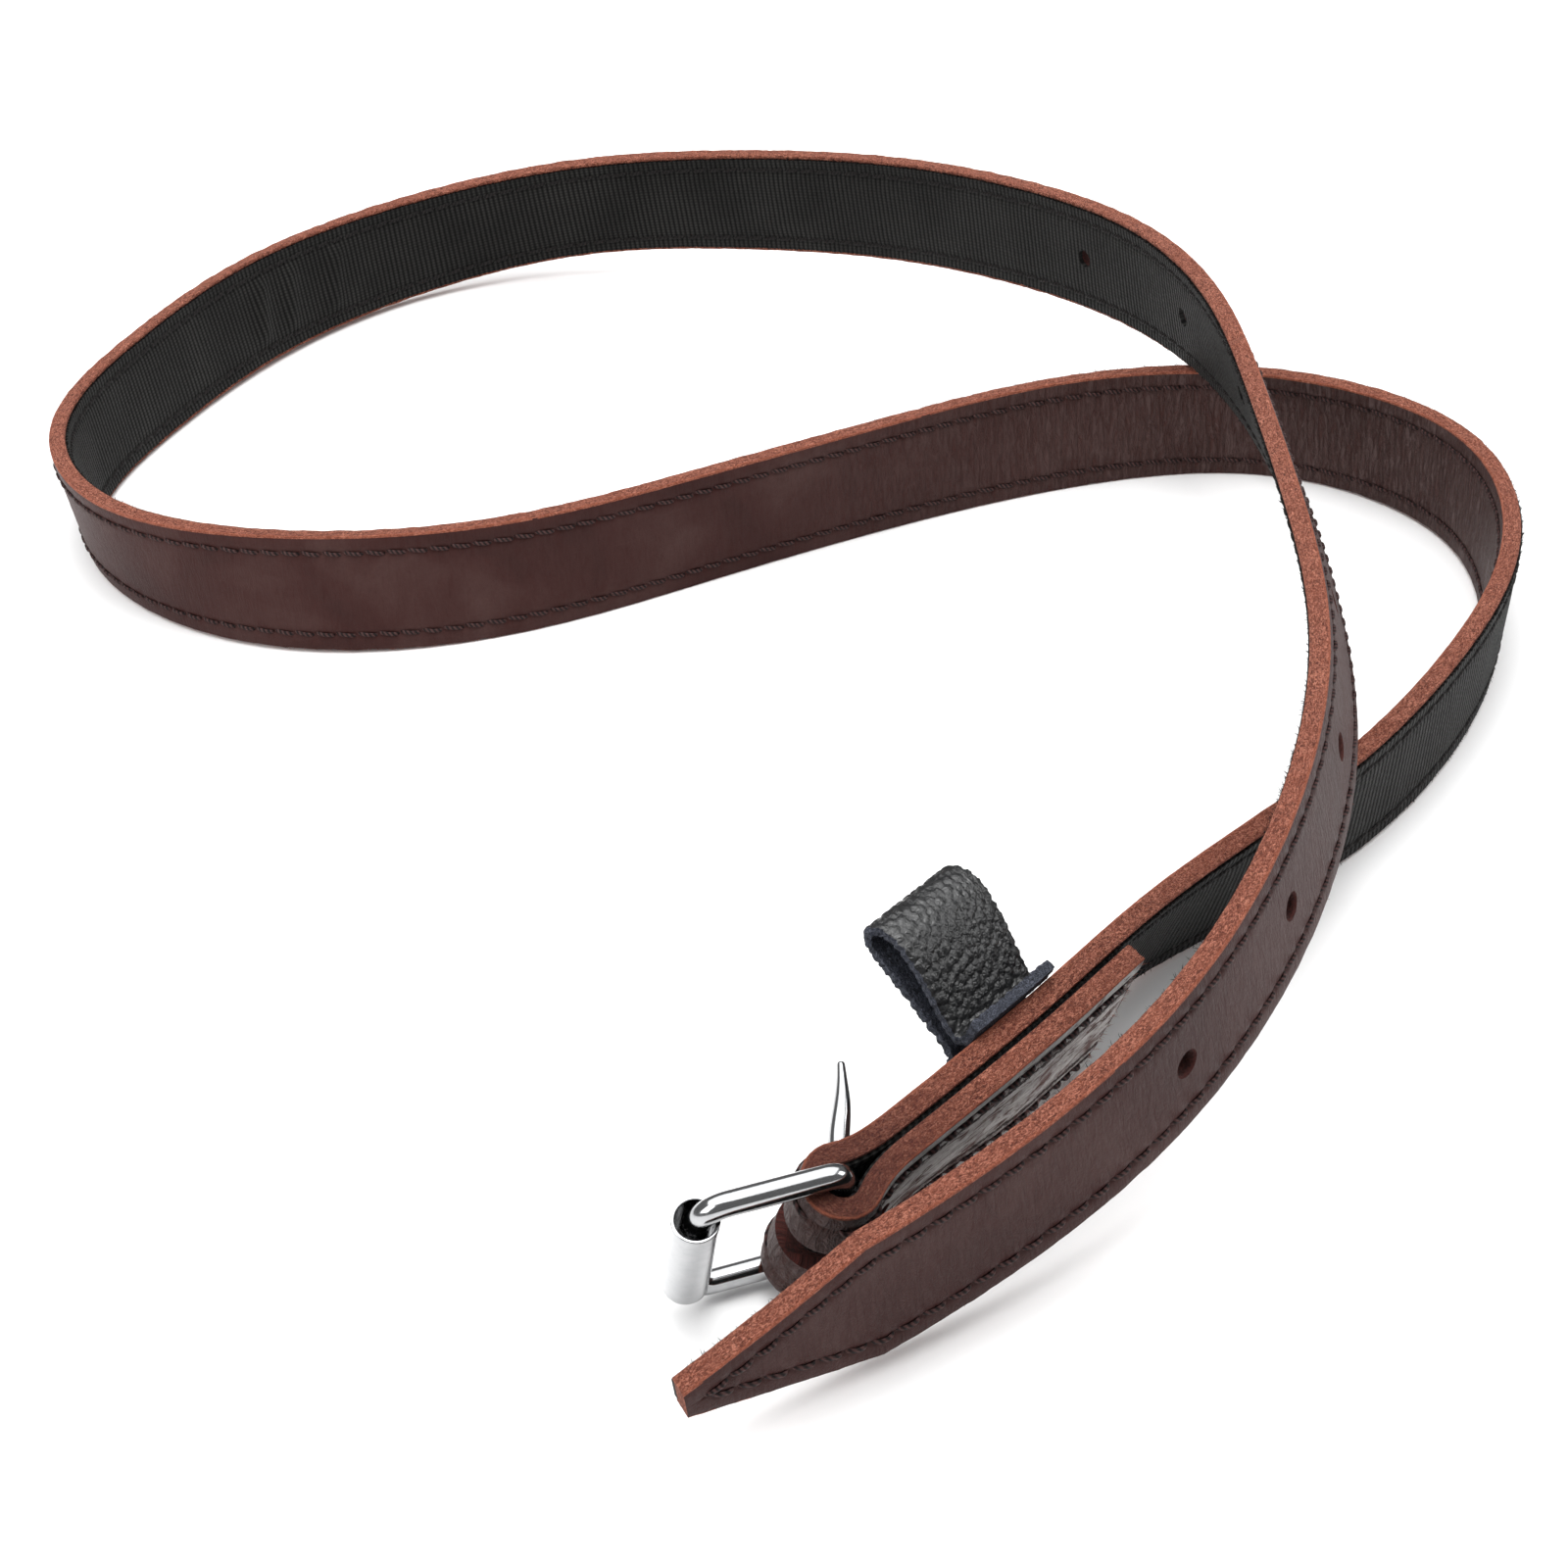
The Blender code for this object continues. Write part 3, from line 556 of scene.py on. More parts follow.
def punched(points, faces, solids):
    """The flat mesh with the solids cut out: points, faces, face centres and face normals."""
    objects = [mesh_object("cut", *shape) for shape in [(points, faces), *solids]]
    for obj in objects:
        turn_outwards(obj.data)
    for cutter in objects[1:]:
        cut = objects[0].modifiers.new("cut", "BOOLEAN")
        cut.operation = "DIFFERENCE"
        cut.solver = "MANIFOLD"
        cut.object = cutter
    view = bpy.context.evaluated_depsgraph_get()
    mesh = bpy.data.meshes.new_from_object(objects[0].evaluated_get(view))
    for obj in objects:
        bpy.data.objects.remove(obj, do_unlink=True)
    loops = [list(face.vertices) for face in mesh.polygons]
    corners, centres, normals = (np.array(rows) for rows in (
        [vertex.co[:] for vertex in mesh.vertices], [face.center[:] for face in mesh.polygons],
        [face.normal[:] for face in mesh.polygons]))
    return corners, loops, centres, normals


def cutters(height, profile, margin=0.0):
    """The slot through the fold and the punched holes, as closed solids."""
    return [slot_solid(SLOT_WIDTH + margin, height), *(hole_solid(profile, place) for place in HOLE_PLACES)]


def slot_solid(width, height):
    """The slot with round ends along the fold, as a closed solid."""
    start, end = FOLD_END + JOIN - SLOT_ON_TAIL, SLOT_ON_STRAP
    outline = []
    for middle, first in ((end - width / 2, -90), (start + width / 2, 90)):
        for k in range(13):
            angle = math.radians(first + 15 * k)
            outline.append((middle + width / 2 * math.cos(angle), width / 2 * math.sin(angle)))
    points = [(x, y, z) for z in (height, -height) for x, y in outline]
    return np.array(points), grid_faces(2, len(outline))


def strap_places(step):
    """Places along the whole strip, the tail's end first, with the point's first corner among them."""
    bend = STRAP_END - POINT_LENGTH
    first = np.linspace(TAIL_START, bend, int((bend - TAIL_START) / step))
    return np.concatenate([first, np.linspace(bend, STRAP_END, int(POINT_LENGTH / step))[1:]])


def seam_distance(places, inset):
    """Distance from the stitch row, which follows the edges and turns round the point."""
    beside = abs(inset - SEAM_INSET)
    ahead = np.where(inset > SEAM_INSET, abs(places - (STRAP_END - SEAM_INSET)), 1.0)
    return np.where(places > STRAP_END - SEAM_INSET - 0.4 * MM, np.minimum(ahead, beside + 1.0 * MM), beside)


STITCH_PITCH = 4.3 * MM
KNEE = 5.0 * MM                 # columns nearer the edge than this keep their inset
# Insets of the columns on the grain side, close together round the seam's groove.
GRAIN_INSETS = np.array((0.30, 0.6, 1.1, 1.7, 2.25, 2.65, 2.95, 3.15, 3.33, 3.5, 3.67, 3.85, 4.05, 4.35, 4.8,
                         5.6, 6.8, 8.2, 9.8, 11.2)) * MM
# Inset and height down the cut edge, and then in along the flesh side, pressed out over the lining's edge.
EDGE_RING = np.array(((0.08, 1.36), (0, 1.18), (-0.05, 0.7), (-0.02, 0.15), (-0.03, -0.4), (-0.05, -0.95),
                      (-0.02, -1.5), (0.08, -1.98))) * MM
BACK_RING = np.array(((0.3, -2.10), (0.62, -2.02), (0.74, -1.45), (3.5, -1.45), (6.5, -1.45),
                      (9.5, -1.45))) * MM
# Nicks in the upper edge: place, depth and reach in mm.
NICKS = ((1020, 0.7, 1.1), (1135, 0.45, 0.8), (716, 0.25, 0.8), (382, 0.25, 0.9))
# A punched hole's wall from the grain side down: share of its radius, and height in mm.
HOLE_PROFILE = ((1.45, 1.9), (1.22, 1.5), (1.08, 1.2), (1.0, 0.8), (0.97, 0), (1.0, -0.9), (1.12, -1.5),
                (1.3, -1.9))


def seam_phase(flat):
    """Place within one stitch, 0 to 1, counted along the seam as its stitches are."""
    seam = seam_line(SEAM_START)
    run = run_length(seam)
    turn = len(seam) // 2 + 1
    upper = np.interp(flat[:, 0], seam[:turn, 0], run[:turn])
    lower = np.interp(flat[:, 0], seam[turn:, 0][::-1], run[turn:][::-1])
    return np.mod(np.where(flat[:, 1] > 0, upper, lower), STITCH_PITCH) / STITCH_PITCH


def leather_strip():
    """The strip with its worn edges, seam grooves, holes and slot."""
    places = strap_places(1.0 * MM)
    half = half_width(places)
    knee = np.minimum(KNEE, half * 0.7)
    top = LEATHER / 2

    def at(inset, height):
        """One column along the strip: across place for each place, on the upper side, and height."""
        near = half - inset * knee / KNEE
        far = (half - knee) * (STRAP_WIDTH / 2 - inset) / (STRAP_WIDTH / 2 - KNEE)
        return np.where(inset <= KNEE, near, far), height

    def mirrored(columns):
        return [(-w, h) for w, h in columns]

    upper = [at(inset, top) for inset in GRAIN_INSETS]
    edge = [at(*row) for row in EDGE_RING]
    back = [at(*row) for row in BACK_RING]
    ring = mirrored(upper) + [(0, top)] + upper[::-1] + edge + back + [(0, -top)]
    ring += mirrored(back[::-1]) + mirrored(edge[::-1])
    flat = ring_points(places, ring)
    along, across = flat[:, 0], flat[:, 1]
    is_upper = across > 0
    inset = half_width(along) - abs(across)
    grain = flat[:, 2] > top - 0.01 * MM
    phase = seam_phase(flat)
    sewn = np.where(along > SEAM_START, 1.0, 0.6)
    beside = seam_distance(along, inset)
    groove = bell(beside, 0.50 * MM) * sewn
    dent = bell(beside, 0.95 * MM) * bell(phase - np.round(phase), 0.16) * sewn
    dome = np.clip(1 - (inset / (1.3 * MM)), 0, 1) ** 2
    ragged = 0.10 * waves(along, 9 * MM, 5) + 0.05 * waves(along + 2 * flat[:, 2], 2.4 * MM, 6)
    ragged += 0.25 * is_upper
    for place, depth, reach in NICKS:
        ragged -= depth * bell(along - place * MM, reach * MM) * is_upper
    side = np.sign(across) * np.clip(1 - inset / (0.35 * MM), 0, 1)
    torn = np.clip(1 - (along - TAIL_START) / (2.5 * MM), 0, 1)
    torn *= 0.6 * waves(across, 6 * MM, 41) + 0.3 * waves(across + flat[:, 2], 1.6 * MM, 42)
    shaped = flat.copy()
    shaped[:, 0] += torn * MM
    shaped[:, 1] += side * ragged * MM
    shaped[:, 2] += grain * (-0.24 * MM * groove - 0.26 * MM * dent - 0.16 * MM * dome
                             + 0.03 * MM * waves(along + 3 * across, 17 * MM, 3))
    profile = [(HOLE_RADIUS * share, height * MM) for share, height in HOLE_PROFILE]
    points, faces, centres, normals = punched(shaped, grid_faces(len(places), len(ring)),
                                              cutters(3 * MM, profile))
    inside = half_width(centres[:, 0]) - abs(centres[:, 1])
    is_grain = (normals[:, 2] > 0.35) & (centres[:, 2] > 0.8 * MM) & (inside > 0.13 * MM)
    is_wall = (abs(normals[:, 2]) < 0.8) & (inside > 4.5 * MM) & (centres[:, 0] <= STRAP_END - 1 * MM)
    worn_to = FOLD_END - 1.0 * MM + 1.2 * MM * waves(centres[:, 1], 9 * MM, 8)
    picks = np.where(is_grain, np.where(centres[:, 0] < worn_to, 1, 0), 2)
    # Hole walls take the darker copy of the edge colours, painted shade.
    picks = np.where(is_wall, 3, picks)
    piece("leather_strip", "strap", ["strap_leather"], route.lay(points), faces,
          [GRAIN, BARE, RAW, HOLE], points, picks, sharp=45)


LINING_FACE = -(LEATHER / 2 + GAP + LINING + 0.1 * MM)
LINING_WIDTH = STRAP_WIDTH - 1.6 * MM
# Columns on the lining's face, as shares of the way from its edge to the middle.
LINING_SHARES = (0, 0.03, 0.07, 0.12, 0.18, 0.22, 0.25, 0.27, 0.29, 0.32, 0.36, 0.44, 0.56, 0.7, 0.85)
# Wrinkles across the lining: place, height and reach in mm.
WRINKLES = ((690, 1.3, 2.2), (700, 0.9, 2.0), (714, 1.2, 2.4), (838, 0.35, 6), (866, 0.3, 5))


def lining_strip():
    """Ribbed webbing on the flesh side, sewn down along both edges and a little loose between."""
    places = strap_places(1.0 * MM)
    inner, outer = -(LEATHER / 2 + 0.06 * MM), LINING_FACE
    half = half_width(places, LINING_WIDTH)
    ring = [(-half * (1 - share), outer) for share in LINING_SHARES] + [(0, outer)]
    ring += [(half * (1 - share), outer) for share in LINING_SHARES[::-1]]
    ring += [(half * share, inner) for share in (0.98, 0.6, 0.2, -0.2, -0.6, -0.98)]
    flat = ring_points(places, ring)
    along, across = flat[:, 0], flat[:, 1]
    inset = half_width(along) - abs(across)
    show = flat[:, 2] < outer + 0.01 * MM
    groove = bell(seam_distance(along, inset), 0.7 * MM)
    loose = np.clip((inset - 4 * MM) / (3 * MM), 0, 1) * np.clip((along - 62 * MM) / (6 * MM), 0, 1)
    puff = 0.10 + 0.10 * waves(along, 22 * MM, 21)
    for place, height, reach in WRINKLES:
        puff += height * bell(along - place * MM - 0.25 * across, reach * MM)
    side = np.sign(across) * np.clip(1 - (inset - 0.8 * MM) / (0.8 * MM), 0, 1)
    ragged = 0.12 * waves(along, 2.4 * MM, 24) + 0.06 * waves(along, 14 * MM, 25) - 0.05
    shaped = flat.copy()
    shaped[:, 1] += side * ragged * MM
    shaped[:, 2] += show * (0.22 * MM * groove - puff * loose * MM)
    profile = [(HOLE_RADIUS * 1.03, 4 * MM), (HOLE_RADIUS * 1.03, -4 * MM)]
    points, faces, _, _ = punched(shaped, grid_faces(len(places), len(ring)),
                                  cutters(4 * MM, profile, margin=0.3 * MM))
    return piece("lining_strip", "strap", ["strap_lining"], route.lay(points), faces,
                 [WEBBING], points, sharp=40)


# ---------------- stitches
def row_line(start, end, side):
    """Points of one stitch row beside an edge, in the flat strap."""
    places = np.arange(start, end, 1.0 * MM)
    return np.stack([places, side * (half_width(places) - SEAM_INSET)], axis=-1)


def seam_line(start):
    """Stitch row up one edge, round the point and back down the other edge."""
    top = STRAP_END - SEAM_INSET
    side = row_line(start, top - 0.3 * MM, 1)
    across = half_width(np.array([top]))[0] - SEAM_INSET
    turn = np.array([(top, across), (top, 0.0), (top, -across)])
    return np.vstack([side, turn, (side * (1, -1))[::-1]])


# One stitch from end to end: share of the pitch, rise as a share of the sink, thickness as a share.
STITCH_SHAPE = np.array(((0.03, -1.5, 0.6), (0.09, -0.7, 0.85), (0.18, 0.1, 1.0), (0.32, 0.75, 1.05),
                         (0.5, 1.0, 1.0), (0.68, 0.75, 1.05), (0.82, 0.1, 1.0), (0.91, -0.7, 0.85),
                         (0.97, -1.5, 0.6)))


def stitches(name, replaced, line, height, sink, material, pitch=STITCH_PITCH, radius=0.42 * MM, ragged=0.0):
    """Separate stitches along a flat line; each one comes up, lies slanted on the face and goes down."""
    shares, rise, fat = STITCH_SHAPE.T
    length = run_length(line)
    count, sides = int(length[-1] / pitch), 6
    angles = circle(sides)
    wobble = rng.normal(0, 1, (count, 3))
    at = (column(np.arange(count)) + shares) * pitch + wobble[:, :1] * (0.05 * MM + ragged * 0.4)
    at = np.clip(at, 0, length[-1])
    x, y = (np.interp(at, length, line[:, k]) for k in (0, 1))
    lean = (shares - 0.5) * (0.60 * MM + wobble[:, 1:2] * (0.08 * MM + ragged))
    ahead, behind = (np.stack([np.interp(at + step, length, line[:, k]) for k in (0, 1)], axis=-1)
                     for step in (0.3 * MM, -0.3 * MM))
    direction = unit(ahead - behind)
    across, back = direction[..., 0], -direction[..., 1]
    x = x + back * lean
    y = y + across * (lean + wobble[:, 2:3] * ragged)
    out = math.copysign(1.0, height)
    z = height + out * sink * rise * (1 + 0.15 * wobble[:, 2:3])
    wide = radius * fat[:, None] * np.cos(angles)
    high = radius * fat[:, None] * np.sin(angles) * 0.85
    points = np.stack([x[..., None] + back[..., None] * wide, y[..., None] + across[..., None] * wide,
                       z[..., None] + high], axis=-1).reshape(-1, 3)
    faces = repeated(grid_faces(len(shares), sides), count, len(shares) * sides)
    piece(name, "strap", replaced, route.lay(points), faces, [material], points)


# ---------------- fibres
def fibres(name, slot, material, roots, lean, lengths, radius):
    """Tiny tapered hairs: each one a closed spike from its root in its flat direction."""
    lean = unit(lean)
    helper = np.where(abs(lean[:, :1]) < 0.8, (1.0, 0, 0), (0, 0, 1.0))
    side = unit(np.cross(lean, helper))
    other = np.cross(lean, side)
    corners = [roots + radius * (side * math.cos(t) + other * math.sin(t)) for t in (0, 2.1, 4.2)]
    tips = roots + lean * column(lengths)
    points = np.stack([*corners, tips], axis=1).reshape(-1, 3)
    faces = repeated(((0, 1, 3), (1, 2, 3), (2, 0, 3), (2, 1, 0)), len(roots), 4)
    piece(name, "strap", [], route.lay(points), faces, [material], points, sharp=180)


def edge_hairs(places, upper_share, inset, heights, along, out, down):
    """Sides, roots and directions of hairs on both edges, drawn at random within the given spreads."""
    count = len(places)
    side = np.where(rng.uniform(0, 1, count) < upper_share, 1.0, -1.0)
    heights = rng.uniform(*heights, count) * MM
    roots = np.stack([places, side * (half_width(places) - inset), heights], axis=-1)
    lean = np.stack([rng.normal(0, along, count), side * rng.uniform(out, 1.0, count),
                     rng.normal(*down, count)], axis=-1)
    return side, roots, lean


def leather_fibres():
    """Fuzz of the cut leather edges, and longer fibres out of the tail's torn end."""
    count, torn = 22000, 900
    places = rng.uniform(TAIL_START + 1 * MM, STRAP_END - 1 * MM, count)
    _, roots, lean = edge_hairs(places, 0.7, 0.05 * MM, (-1.40, 1.15), 1.5, 0.2, (-0.1, 1.2))
    torn_roots = np.stack([np.full(torn, TAIL_START + 0.6 * MM), rng.uniform(-12, 12, torn) * MM,
                           rng.uniform(-1.2, 1.3, torn) * MM], axis=-1)
    roots = np.vstack([roots, torn_roots])
    lean = np.vstack([lean, rng.normal(0, 0.5, (torn, 3)) - (1.0, 0, 0)])
    lengths = np.concatenate([rng.uniform(0.25, 0.75, count), rng.uniform(0.9, 2.2, torn)]) * MM
    fibres("leather_fuzz", "brown_leather", FUZZ, roots, lean, lengths, 0.055 * MM)


def lining_fibres():
    """Frayed selvedge of the webbing, except where the buckle's wire turns beside it."""
    places = rng.uniform(TAIL_START + 1 * MM, STRAP_END - 1 * MM, 14000)
    places = places[(places < FOLD_END - 8 * MM) | (places > CLOSED_AT)]
    side, roots, lean = edge_hairs(places, 0.6, 0.9 * MM, (-2.55, -1.65), 0.7, 0.5, (-0.25, 0.4))
    tufts = np.clip(waves(places, 2.6 * MM, 31) + 0.3, 0, 1.2)
    shaggy = 0.7 * bell(places - 340 * MM, 70 * MM) + 0.5 * bell(places - 955 * MM, 50 * MM)
    lengths = rng.uniform(0.3, 0.8, len(places)) + 0.55 * tufts + shaggy
    lengths *= np.where(side > 0, 1.0, 0.6) * MM
    fibres("lining_fray", "black_webbing", FRAY, roots, lean, lengths, 0.085 * MM)


leather_strip()
lining = lining_strip()
leather_fibres()
lining_fibres()
stitches("face_stitches", ["edge_thread_face"], seam_line(SEAM_START), LEATHER / 2 - 0.14 * MM, 0.26 * MM,
         STITCH)
stitches("lining_stitches", ["edge_thread_lining"], seam_line(TAIL_LENGTH + 6 * MM),
         LINING_FACE + 0.20 * MM, 0.16 * MM, BLACK_STITCH)
for row_name, row_side in (("upper", 1), ("lower", -1)):
    stitches("fold_stitches_" + row_name, ["fold_thread_" + row_name],
             row_line(TAIL_START + 3 * MM, SEAM_START - 1 * MM, row_side), LEATHER / 2 - 0.02 * MM, 0.30 * MM,
             STITCH, pitch=3.4 * MM, radius=0.45 * MM, ragged=0.22 * MM)


# ---------------- keeper loop
def beside_strap(points):
    """Keeper points (along, out of the face, up) laid 0.2 mm closer to the strap and bent with it."""
    point, _, across, _ = route.main(KEEPER_PLACE + points[:, 0])
    normal = route.main(np.array([KEEPER_PLACE]))[3]
    return point + normal * (points[:, 1:2] - 0.2 * MM) + across * points[:, 2:3]


KEEPER_BACK = LEATHER / 2 + GAP + KEEPER_LEATHER / 2
# Middle line of the keeper from its upper end to its lower one: out of the strap and up, in mm.
KEEPER_LOOP = [
    (0, 15.0), (0, 12.6), (0.3, 10.9), (1.4, 9.9), (3.2, 10.4), (6.0, 12.1), (9.6, 14.3), (13.2, 16.1),
    (16.6, 17.0), (19.0, 16.6), (20.7, 15.2), (21.1, 13.3), (19.9, 11.7), (17.0, 10.6), (13.2, 9.6),
    (9.6, 8.6), (6.0, 7.5), (3.0, 6.6), (1.2, 5.7), (0.2, 4.4), (0, 2.8), (0, -7.0),
]


def pebbles(places, size, seed):
    """Height of a pebbled grain at flat places: rounded cells between narrow creases, 0 to 1."""
    draw = np.random.default_rng(seed)
    low, high = places.min(axis=0) - size, places.max(axis=0) + size
    xs, ys = np.meshgrid(np.arange(low[0], high[0], size), np.arange(low[1], high[1], size), indexing="ij")
    seeds = np.stack([xs.ravel(), ys.ravel()], axis=-1) + draw.uniform(-0.48, 0.48, (xs.size, 2)) * size
    heights = np.empty(len(places))
    for k in range(0, len(places), 4000):
        gaps = np.linalg.norm(places[k:k + 4000, None] - seeds[None], axis=-1)
        nearest = np.partition(gaps, 1, axis=1)[:, :2]
        heights[k:k + 4000] = np.clip((nearest[:, 1] - nearest[:, 0]) / (0.55 * size), 0, 1)
    return np.sin(heights * math.pi / 2)


def keeper():
    """Loop of pebbled leather with raw edges; x along the strap, then out of it, then up."""
    line, at = even(spline([(0, out, up) for out, up in KEEPER_LOOP], 900), 210)
    line, at = line * MM, at * MM
    outer = np.cross((1.0, 0, 0), unit(np.gradient(line, axis=0)))
    half, thick = KEEPER_WIDTH / 2, KEEPER_LEATHER / 2
    sides = ((1.005, 0.45 * thick), (1.01, -0.2 * thick))
    ring = [(w * half, thick - 0.25 * MM * abs(w) ** 24) for w in np.linspace(-1, 1, 52)]
    ring += [(w * half, h) for w, h in sides]
    ring += [(w * half * 0.995, -thick) for w in np.linspace(1, -1, 27)]
    ring += [(-w * half, h) for w, h in sides[::-1]]
    flat = ring_points(at, ring)
    grain = flat[:, 2] > 0.7 * thick
    flesh = flat[:, 2] < -0.9 * thick
    lift = grain * 0.32 * MM * (pebbles(flat[:, :2] * (0.85, 1.2), 1.5 * MM, 4) - 0.9)
    lift += flesh * 0.10 * MM * waves(flat[:, 0] + 1.7 * flat[:, 1], 2.2 * MM, 9)
    jag = 0.22 * MM * waves(flat[:, 0], 2.6 * MM, 14) + 0.12 * MM * waves(flat[:, 0], 0.9 * MM, 15)
    jag = np.minimum(jag, 0.12 * MM) * (abs(flat[:, 1]) > 0.98 * half)
    row = np.repeat(np.arange(len(at)), len(ring))
    points = line[row] + (0, KEEPER_BACK, 0) + outer[row] * (flat[:, 2:3] + column(lift))
    points[:, 0] += flat[:, 1] + np.sign(flat[:, 1]) * jag
    faces = grid_faces(len(at), len(ring))
    picks = [0 if len(face) == 4 and all(grain[v] for v in face) else 1 for face in faces]
    piece("keeper_leather", "strap", ["keeper_loop"],
          beside_strap(points), faces, [PEBBLE, KEEPER_RAW], flat, picks, sharp=50)


# One keeper stitch from end to end: share of the pitch, rise as a share of 0.25 mm, thickness as a share.
KEEPER_STITCH = ((0.04, -1.0, 0.5), (0.14, -0.1, 0.9), (0.35, 0.8, 1.0), (0.65, 0.8, 1.0), (0.86, -0.1, 0.9),
                 (0.96, -1.0, 0.5))


def keeper_stitches(name, node, height):
    """Stitches along the strap through one end of the keeper."""
    reach = KEEPER_WIDTH / 2 - 1.8 * MM
    count, sides, radius = 5, 8, 0.3 * MM
    surface = KEEPER_BACK + KEEPER_LEATHER / 2 - 0.05 * MM
    points, flat = [], []
    for k in range(count):
        for share, rise, fat in KEEPER_STITCH:
            x = -reach + (k + share) * 2 * reach / count
            for angle in circle(sides):
                points.append((x, surface + 0.25 * MM * rise + radius * fat * math.sin(angle),
                               height + radius * fat * math.cos(angle) + 0.1 * MM * (share - 0.5)))
                flat.append((x, height, radius * math.sin(angle)))
    faces = repeated(grid_faces(len(KEEPER_STITCH), sides), count, len(KEEPER_STITCH) * sides)
    piece(name, "strap", [node], beside_strap(np.array(points)), faces,
          [BLACK_STITCH], flat)


keeper()
keeper_stitches("keeper_stitches_upper", "keeper_thread_upper", 12.9 * MM)
keeper_stitches("keeper_stitches_lower", "keeper_thread_lower", -3.0 * MM)


# ---------------- buckle
def transformed(points, matrix):
    m = np.array(matrix)
    return points @ m[:3, :3].T + m[:3, 3]


def buckle_matrix(turn):
    """At the heel bar: local z along the bar, local x out to the front bar at the given turn."""
    point, along, across, normal = (Vector(row[0]) for row in route.main(np.array([0.0])))
    centre = point - normal * CLOSED_LAYERS / 2 + along * BAR_TILT * STRAP_WIDTH / 2
    bar = (across - along * BAR_TILT).normalized()
    centre += bar * BAR_RISE
    out = Matrix.Rotation(turn, 3, bar) @ bar.cross(normal)
    return Matrix.Translation(centre) @ Matrix((out, bar.cross(out), bar)).transposed().to_4x4()


def frame_wire():
    """Heel bar, side bars and front bar: one bent wire in the local x, z plane."""
    side = FRAME_WIDTH / 2
    corners = ((FRAME_DEPTH - FRONT_CORNER, side - FRONT_CORNER, FRONT_CORNER, 0),
               (HEEL_CORNER, side - HEEL_CORNER, HEEL_CORNER, 90),
               (HEEL_CORNER, HEEL_CORNER - side, HEEL_CORNER, 180),
               (FRAME_DEPTH - FRONT_CORNER, FRONT_CORNER - side, FRONT_CORNER, 270))
    loop = []
    for x, z, radius, first in corners:
        for k in range(17):
            angle = math.radians(first + 90 * k / 16)
            loop.append((x + radius * math.cos(angle), 0, z + radius * math.sin(angle)))
    loop.append(loop[0])
    line = even(np.array(loop), 241)[0][:-1]
    tangent = unit(sum(np.roll(line, -k, axis=0) - np.roll(line, k, axis=0) for k in (1, 2)))
    y = np.array([[0, 1.0, 0]])
    sides = 32
    points = tube(line, WIRE_RADIUS, np.cross(tangent, y), y, sides)
    faces = grid_faces(len(line), sides, closed_rows=True)
    piece("frame_wire", "frame", ["buckle_frame"],
          transformed(points, buckle_matrix(FRAME_TURN)), faces, [CHROME], points)


def roller_tube():
    """Thin rolled tube with slightly turned rims."""
    outer, inner, top, rim = ROLLER_RADIUS, ROLLER_RADIUS - ROLLER_WALL, ROLLER_LENGTH / 2, 0.12 * MM
    upper_rim = [(outer, top - rim), (outer - rim * 0.3, top - rim * 0.3), (outer - rim, top),
                 (inner + rim, top), (inner + rim * 0.3, top - rim * 0.3), (inner, top - rim)]
    flat_end = top - 0.8 * MM
    section = [(radius, -z) for radius, z in upper_rim[::-1]]
    section += [(outer, z) for z in np.linspace(-flat_end, flat_end, 20)]
    section += upper_rim + [(inner, z) for z in np.linspace(flat_end, -flat_end, 8)]
    sides = 64
    points = np.array([(radius * math.cos(angle), radius * math.sin(angle), z)
                       for angle in circle(sides) for radius, z in section])
    faces = grid_faces(sides, len(section), closed_rows=True)
    matrix = buckle_matrix(FRAME_TURN) @ Matrix.Translation((FRAME_DEPTH + ROLLER_SHIFT, 0, 0))
    piece("roller_tube", "roller", ["buckle_roller"], transformed(points, matrix), faces,
          [CHROME], points)


def tongue_wire():
    """Prong bent to an open eye round the heel bar, swelling after it, with a flattened tip."""
    bend = WIRE_RADIUS + GAP + TONGUE_EYE_RADIUS
    eye = np.linspace(-2 * math.pi, -math.pi / 2, 16)
    rows = [(bend * math.cos(a), bend * math.sin(a), 0, TONGUE_EYE_RADIUS) for a in eye]
    rows += [(out * MM, beside * MM, 0, radius * MM) for out, beside, radius in PRONG]
    line, at = even(spline(rows, 600), 170)
    line, radii = line[:, :3], line[:, 3]
    for end in (at, at[-1] - at):
        radii = radii * np.sqrt(np.clip(1 - (1 - np.clip(end / (0.5 * MM), 0, 1)) ** 2, 0.12, 1))
    flattened = 1 + 0.35 * np.clip((line[:, :1] - 13 * MM) / (9 * MM), 0, 1)
    z = np.array([[0, 0, 1.0]])
    sides = 28
    beside = np.cross(unit(np.gradient(line, axis=0)), z)
    points = tube(line, radii[:, None, None], beside, z * flattened, sides)
    faces = grid_faces(len(line), sides)
    piece("tongue_wire", "tongue", ["buckle_tongue"],
          transformed(points, buckle_matrix(FRAME_TURN + TONGUE_TURN)), faces, [CHROME], points)


frame_wire()
roller_tube()
tongue_wire()


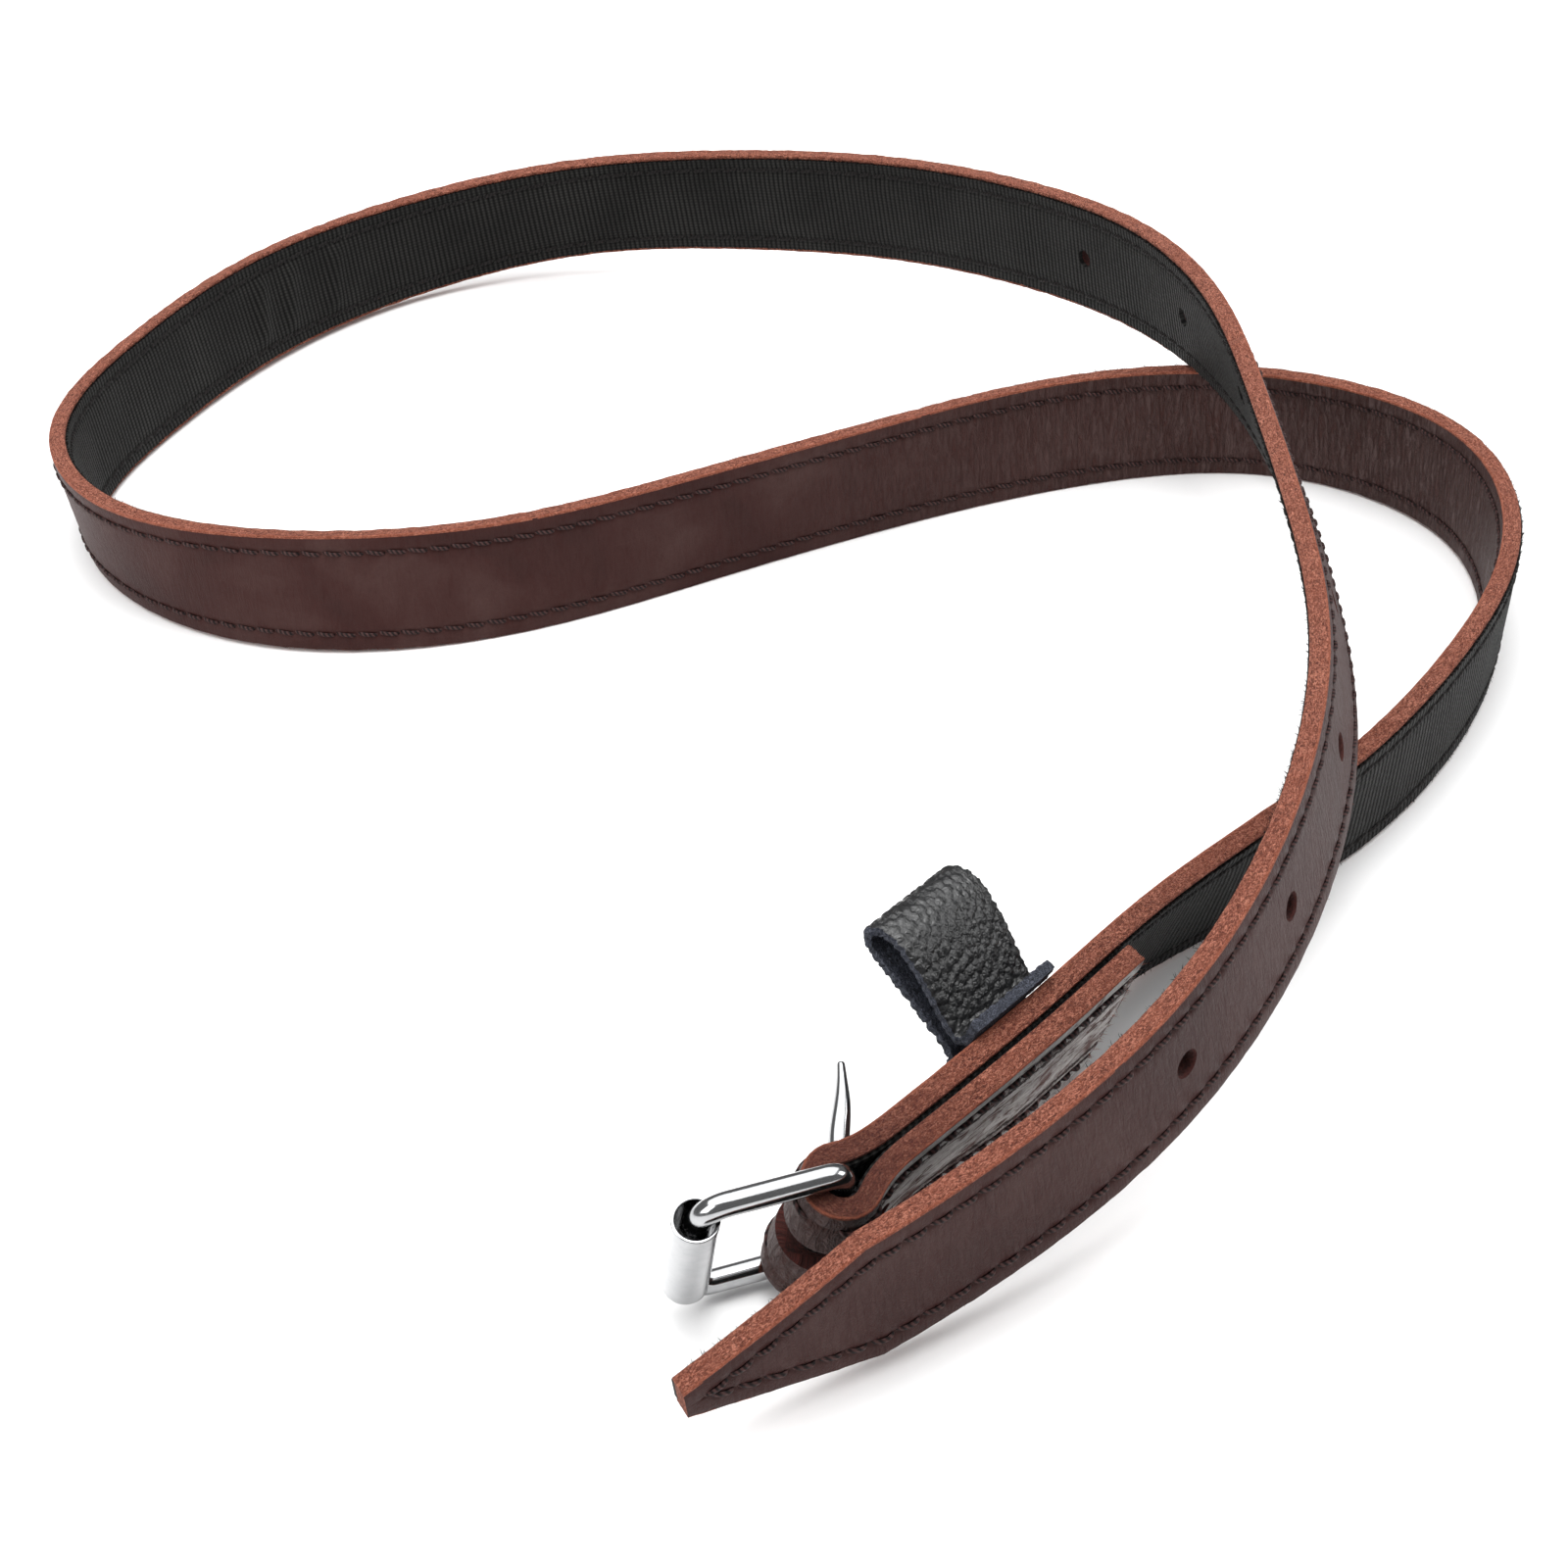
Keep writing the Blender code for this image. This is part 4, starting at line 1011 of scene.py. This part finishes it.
# ---------------- camera, floor and lights
def add_camera():
    """Looks down at the strap from the front, a little rolled."""
    height, roll = math.radians(35.24), math.radians(-3.90)
    forward = Vector((0, math.cos(height), -math.sin(height)))
    right, up = Vector((1, 0, 0)), Vector((0, math.sin(height), math.cos(height)))
    x = right * math.cos(roll) + up * math.sin(roll)
    y = up * math.cos(roll) - right * math.sin(roll)
    target, distance = Vector((3.35, -37.58, 0.1)) * MM, 500.3 * MM
    data = bpy.data.cameras.new("camera")
    data.lens = 61.47
    data.sensor_width = 36.0
    data.clip_start = 0.01
    camera = linked("camera", data)
    rotation = Matrix((x, y, -forward)).transposed().to_4x4()
    camera.matrix_world = Matrix.Translation(target - forward * distance) @ rotation
    scene.camera = camera


def add_light(name, spot, aim, size, power, shape=(1, 1)):
    """A soft rectangular light aimed at a point."""
    data = bpy.data.lights.new(name, "AREA")
    data.shape = "RECTANGLE"
    data.size, data.size_y = size * shape[0], size * shape[1]
    data.energy = power
    light = linked(name, data)
    light.location = spot
    light.rotation_euler = (Vector(aim) - Vector(spot)).to_track_quat("-Z", "Y").to_euler()


def add_floor():
    """A wide pale plane just under the strap."""
    corners = [(x * 15, y * 15, 0) for x, y in ((-1, -1), (1, -1), (1, 1), (-1, 1))]
    obj = mesh_object("floor", corners, [(0, 1, 2, 3)])
    obj.data.materials.append(FLOOR)
    obj.location.z = -0.1 * MM


def add_world():
    world = bpy.data.worlds.new("studio")
    world.use_nodes = True
    background = world.node_tree.nodes["Background"].inputs
    background["Color"].default_value = (1.0, 1.0, 1.0, 1.0)
    background["Strength"].default_value = 0.22
    scene.world = world


add_camera()
add_floor()
add_light("top", (0.0, 0.2, 1.6), (0, 0, 0), 3.2, 62, (1, 0.8))
add_light("overhead", (0.06, -0.12, 1.4), (0.06, -0.12, 0), 0.6, 6.5)
add_light("key", (-0.95, -0.75, 0.75), (0, -0.05, 0), 0.8, 9)
add_light("side", (1.15, -0.1, 0.55), (0, 0, 0.02), 0.5, 3.5)
add_world()
scene.view_settings.view_transform = "Standard"
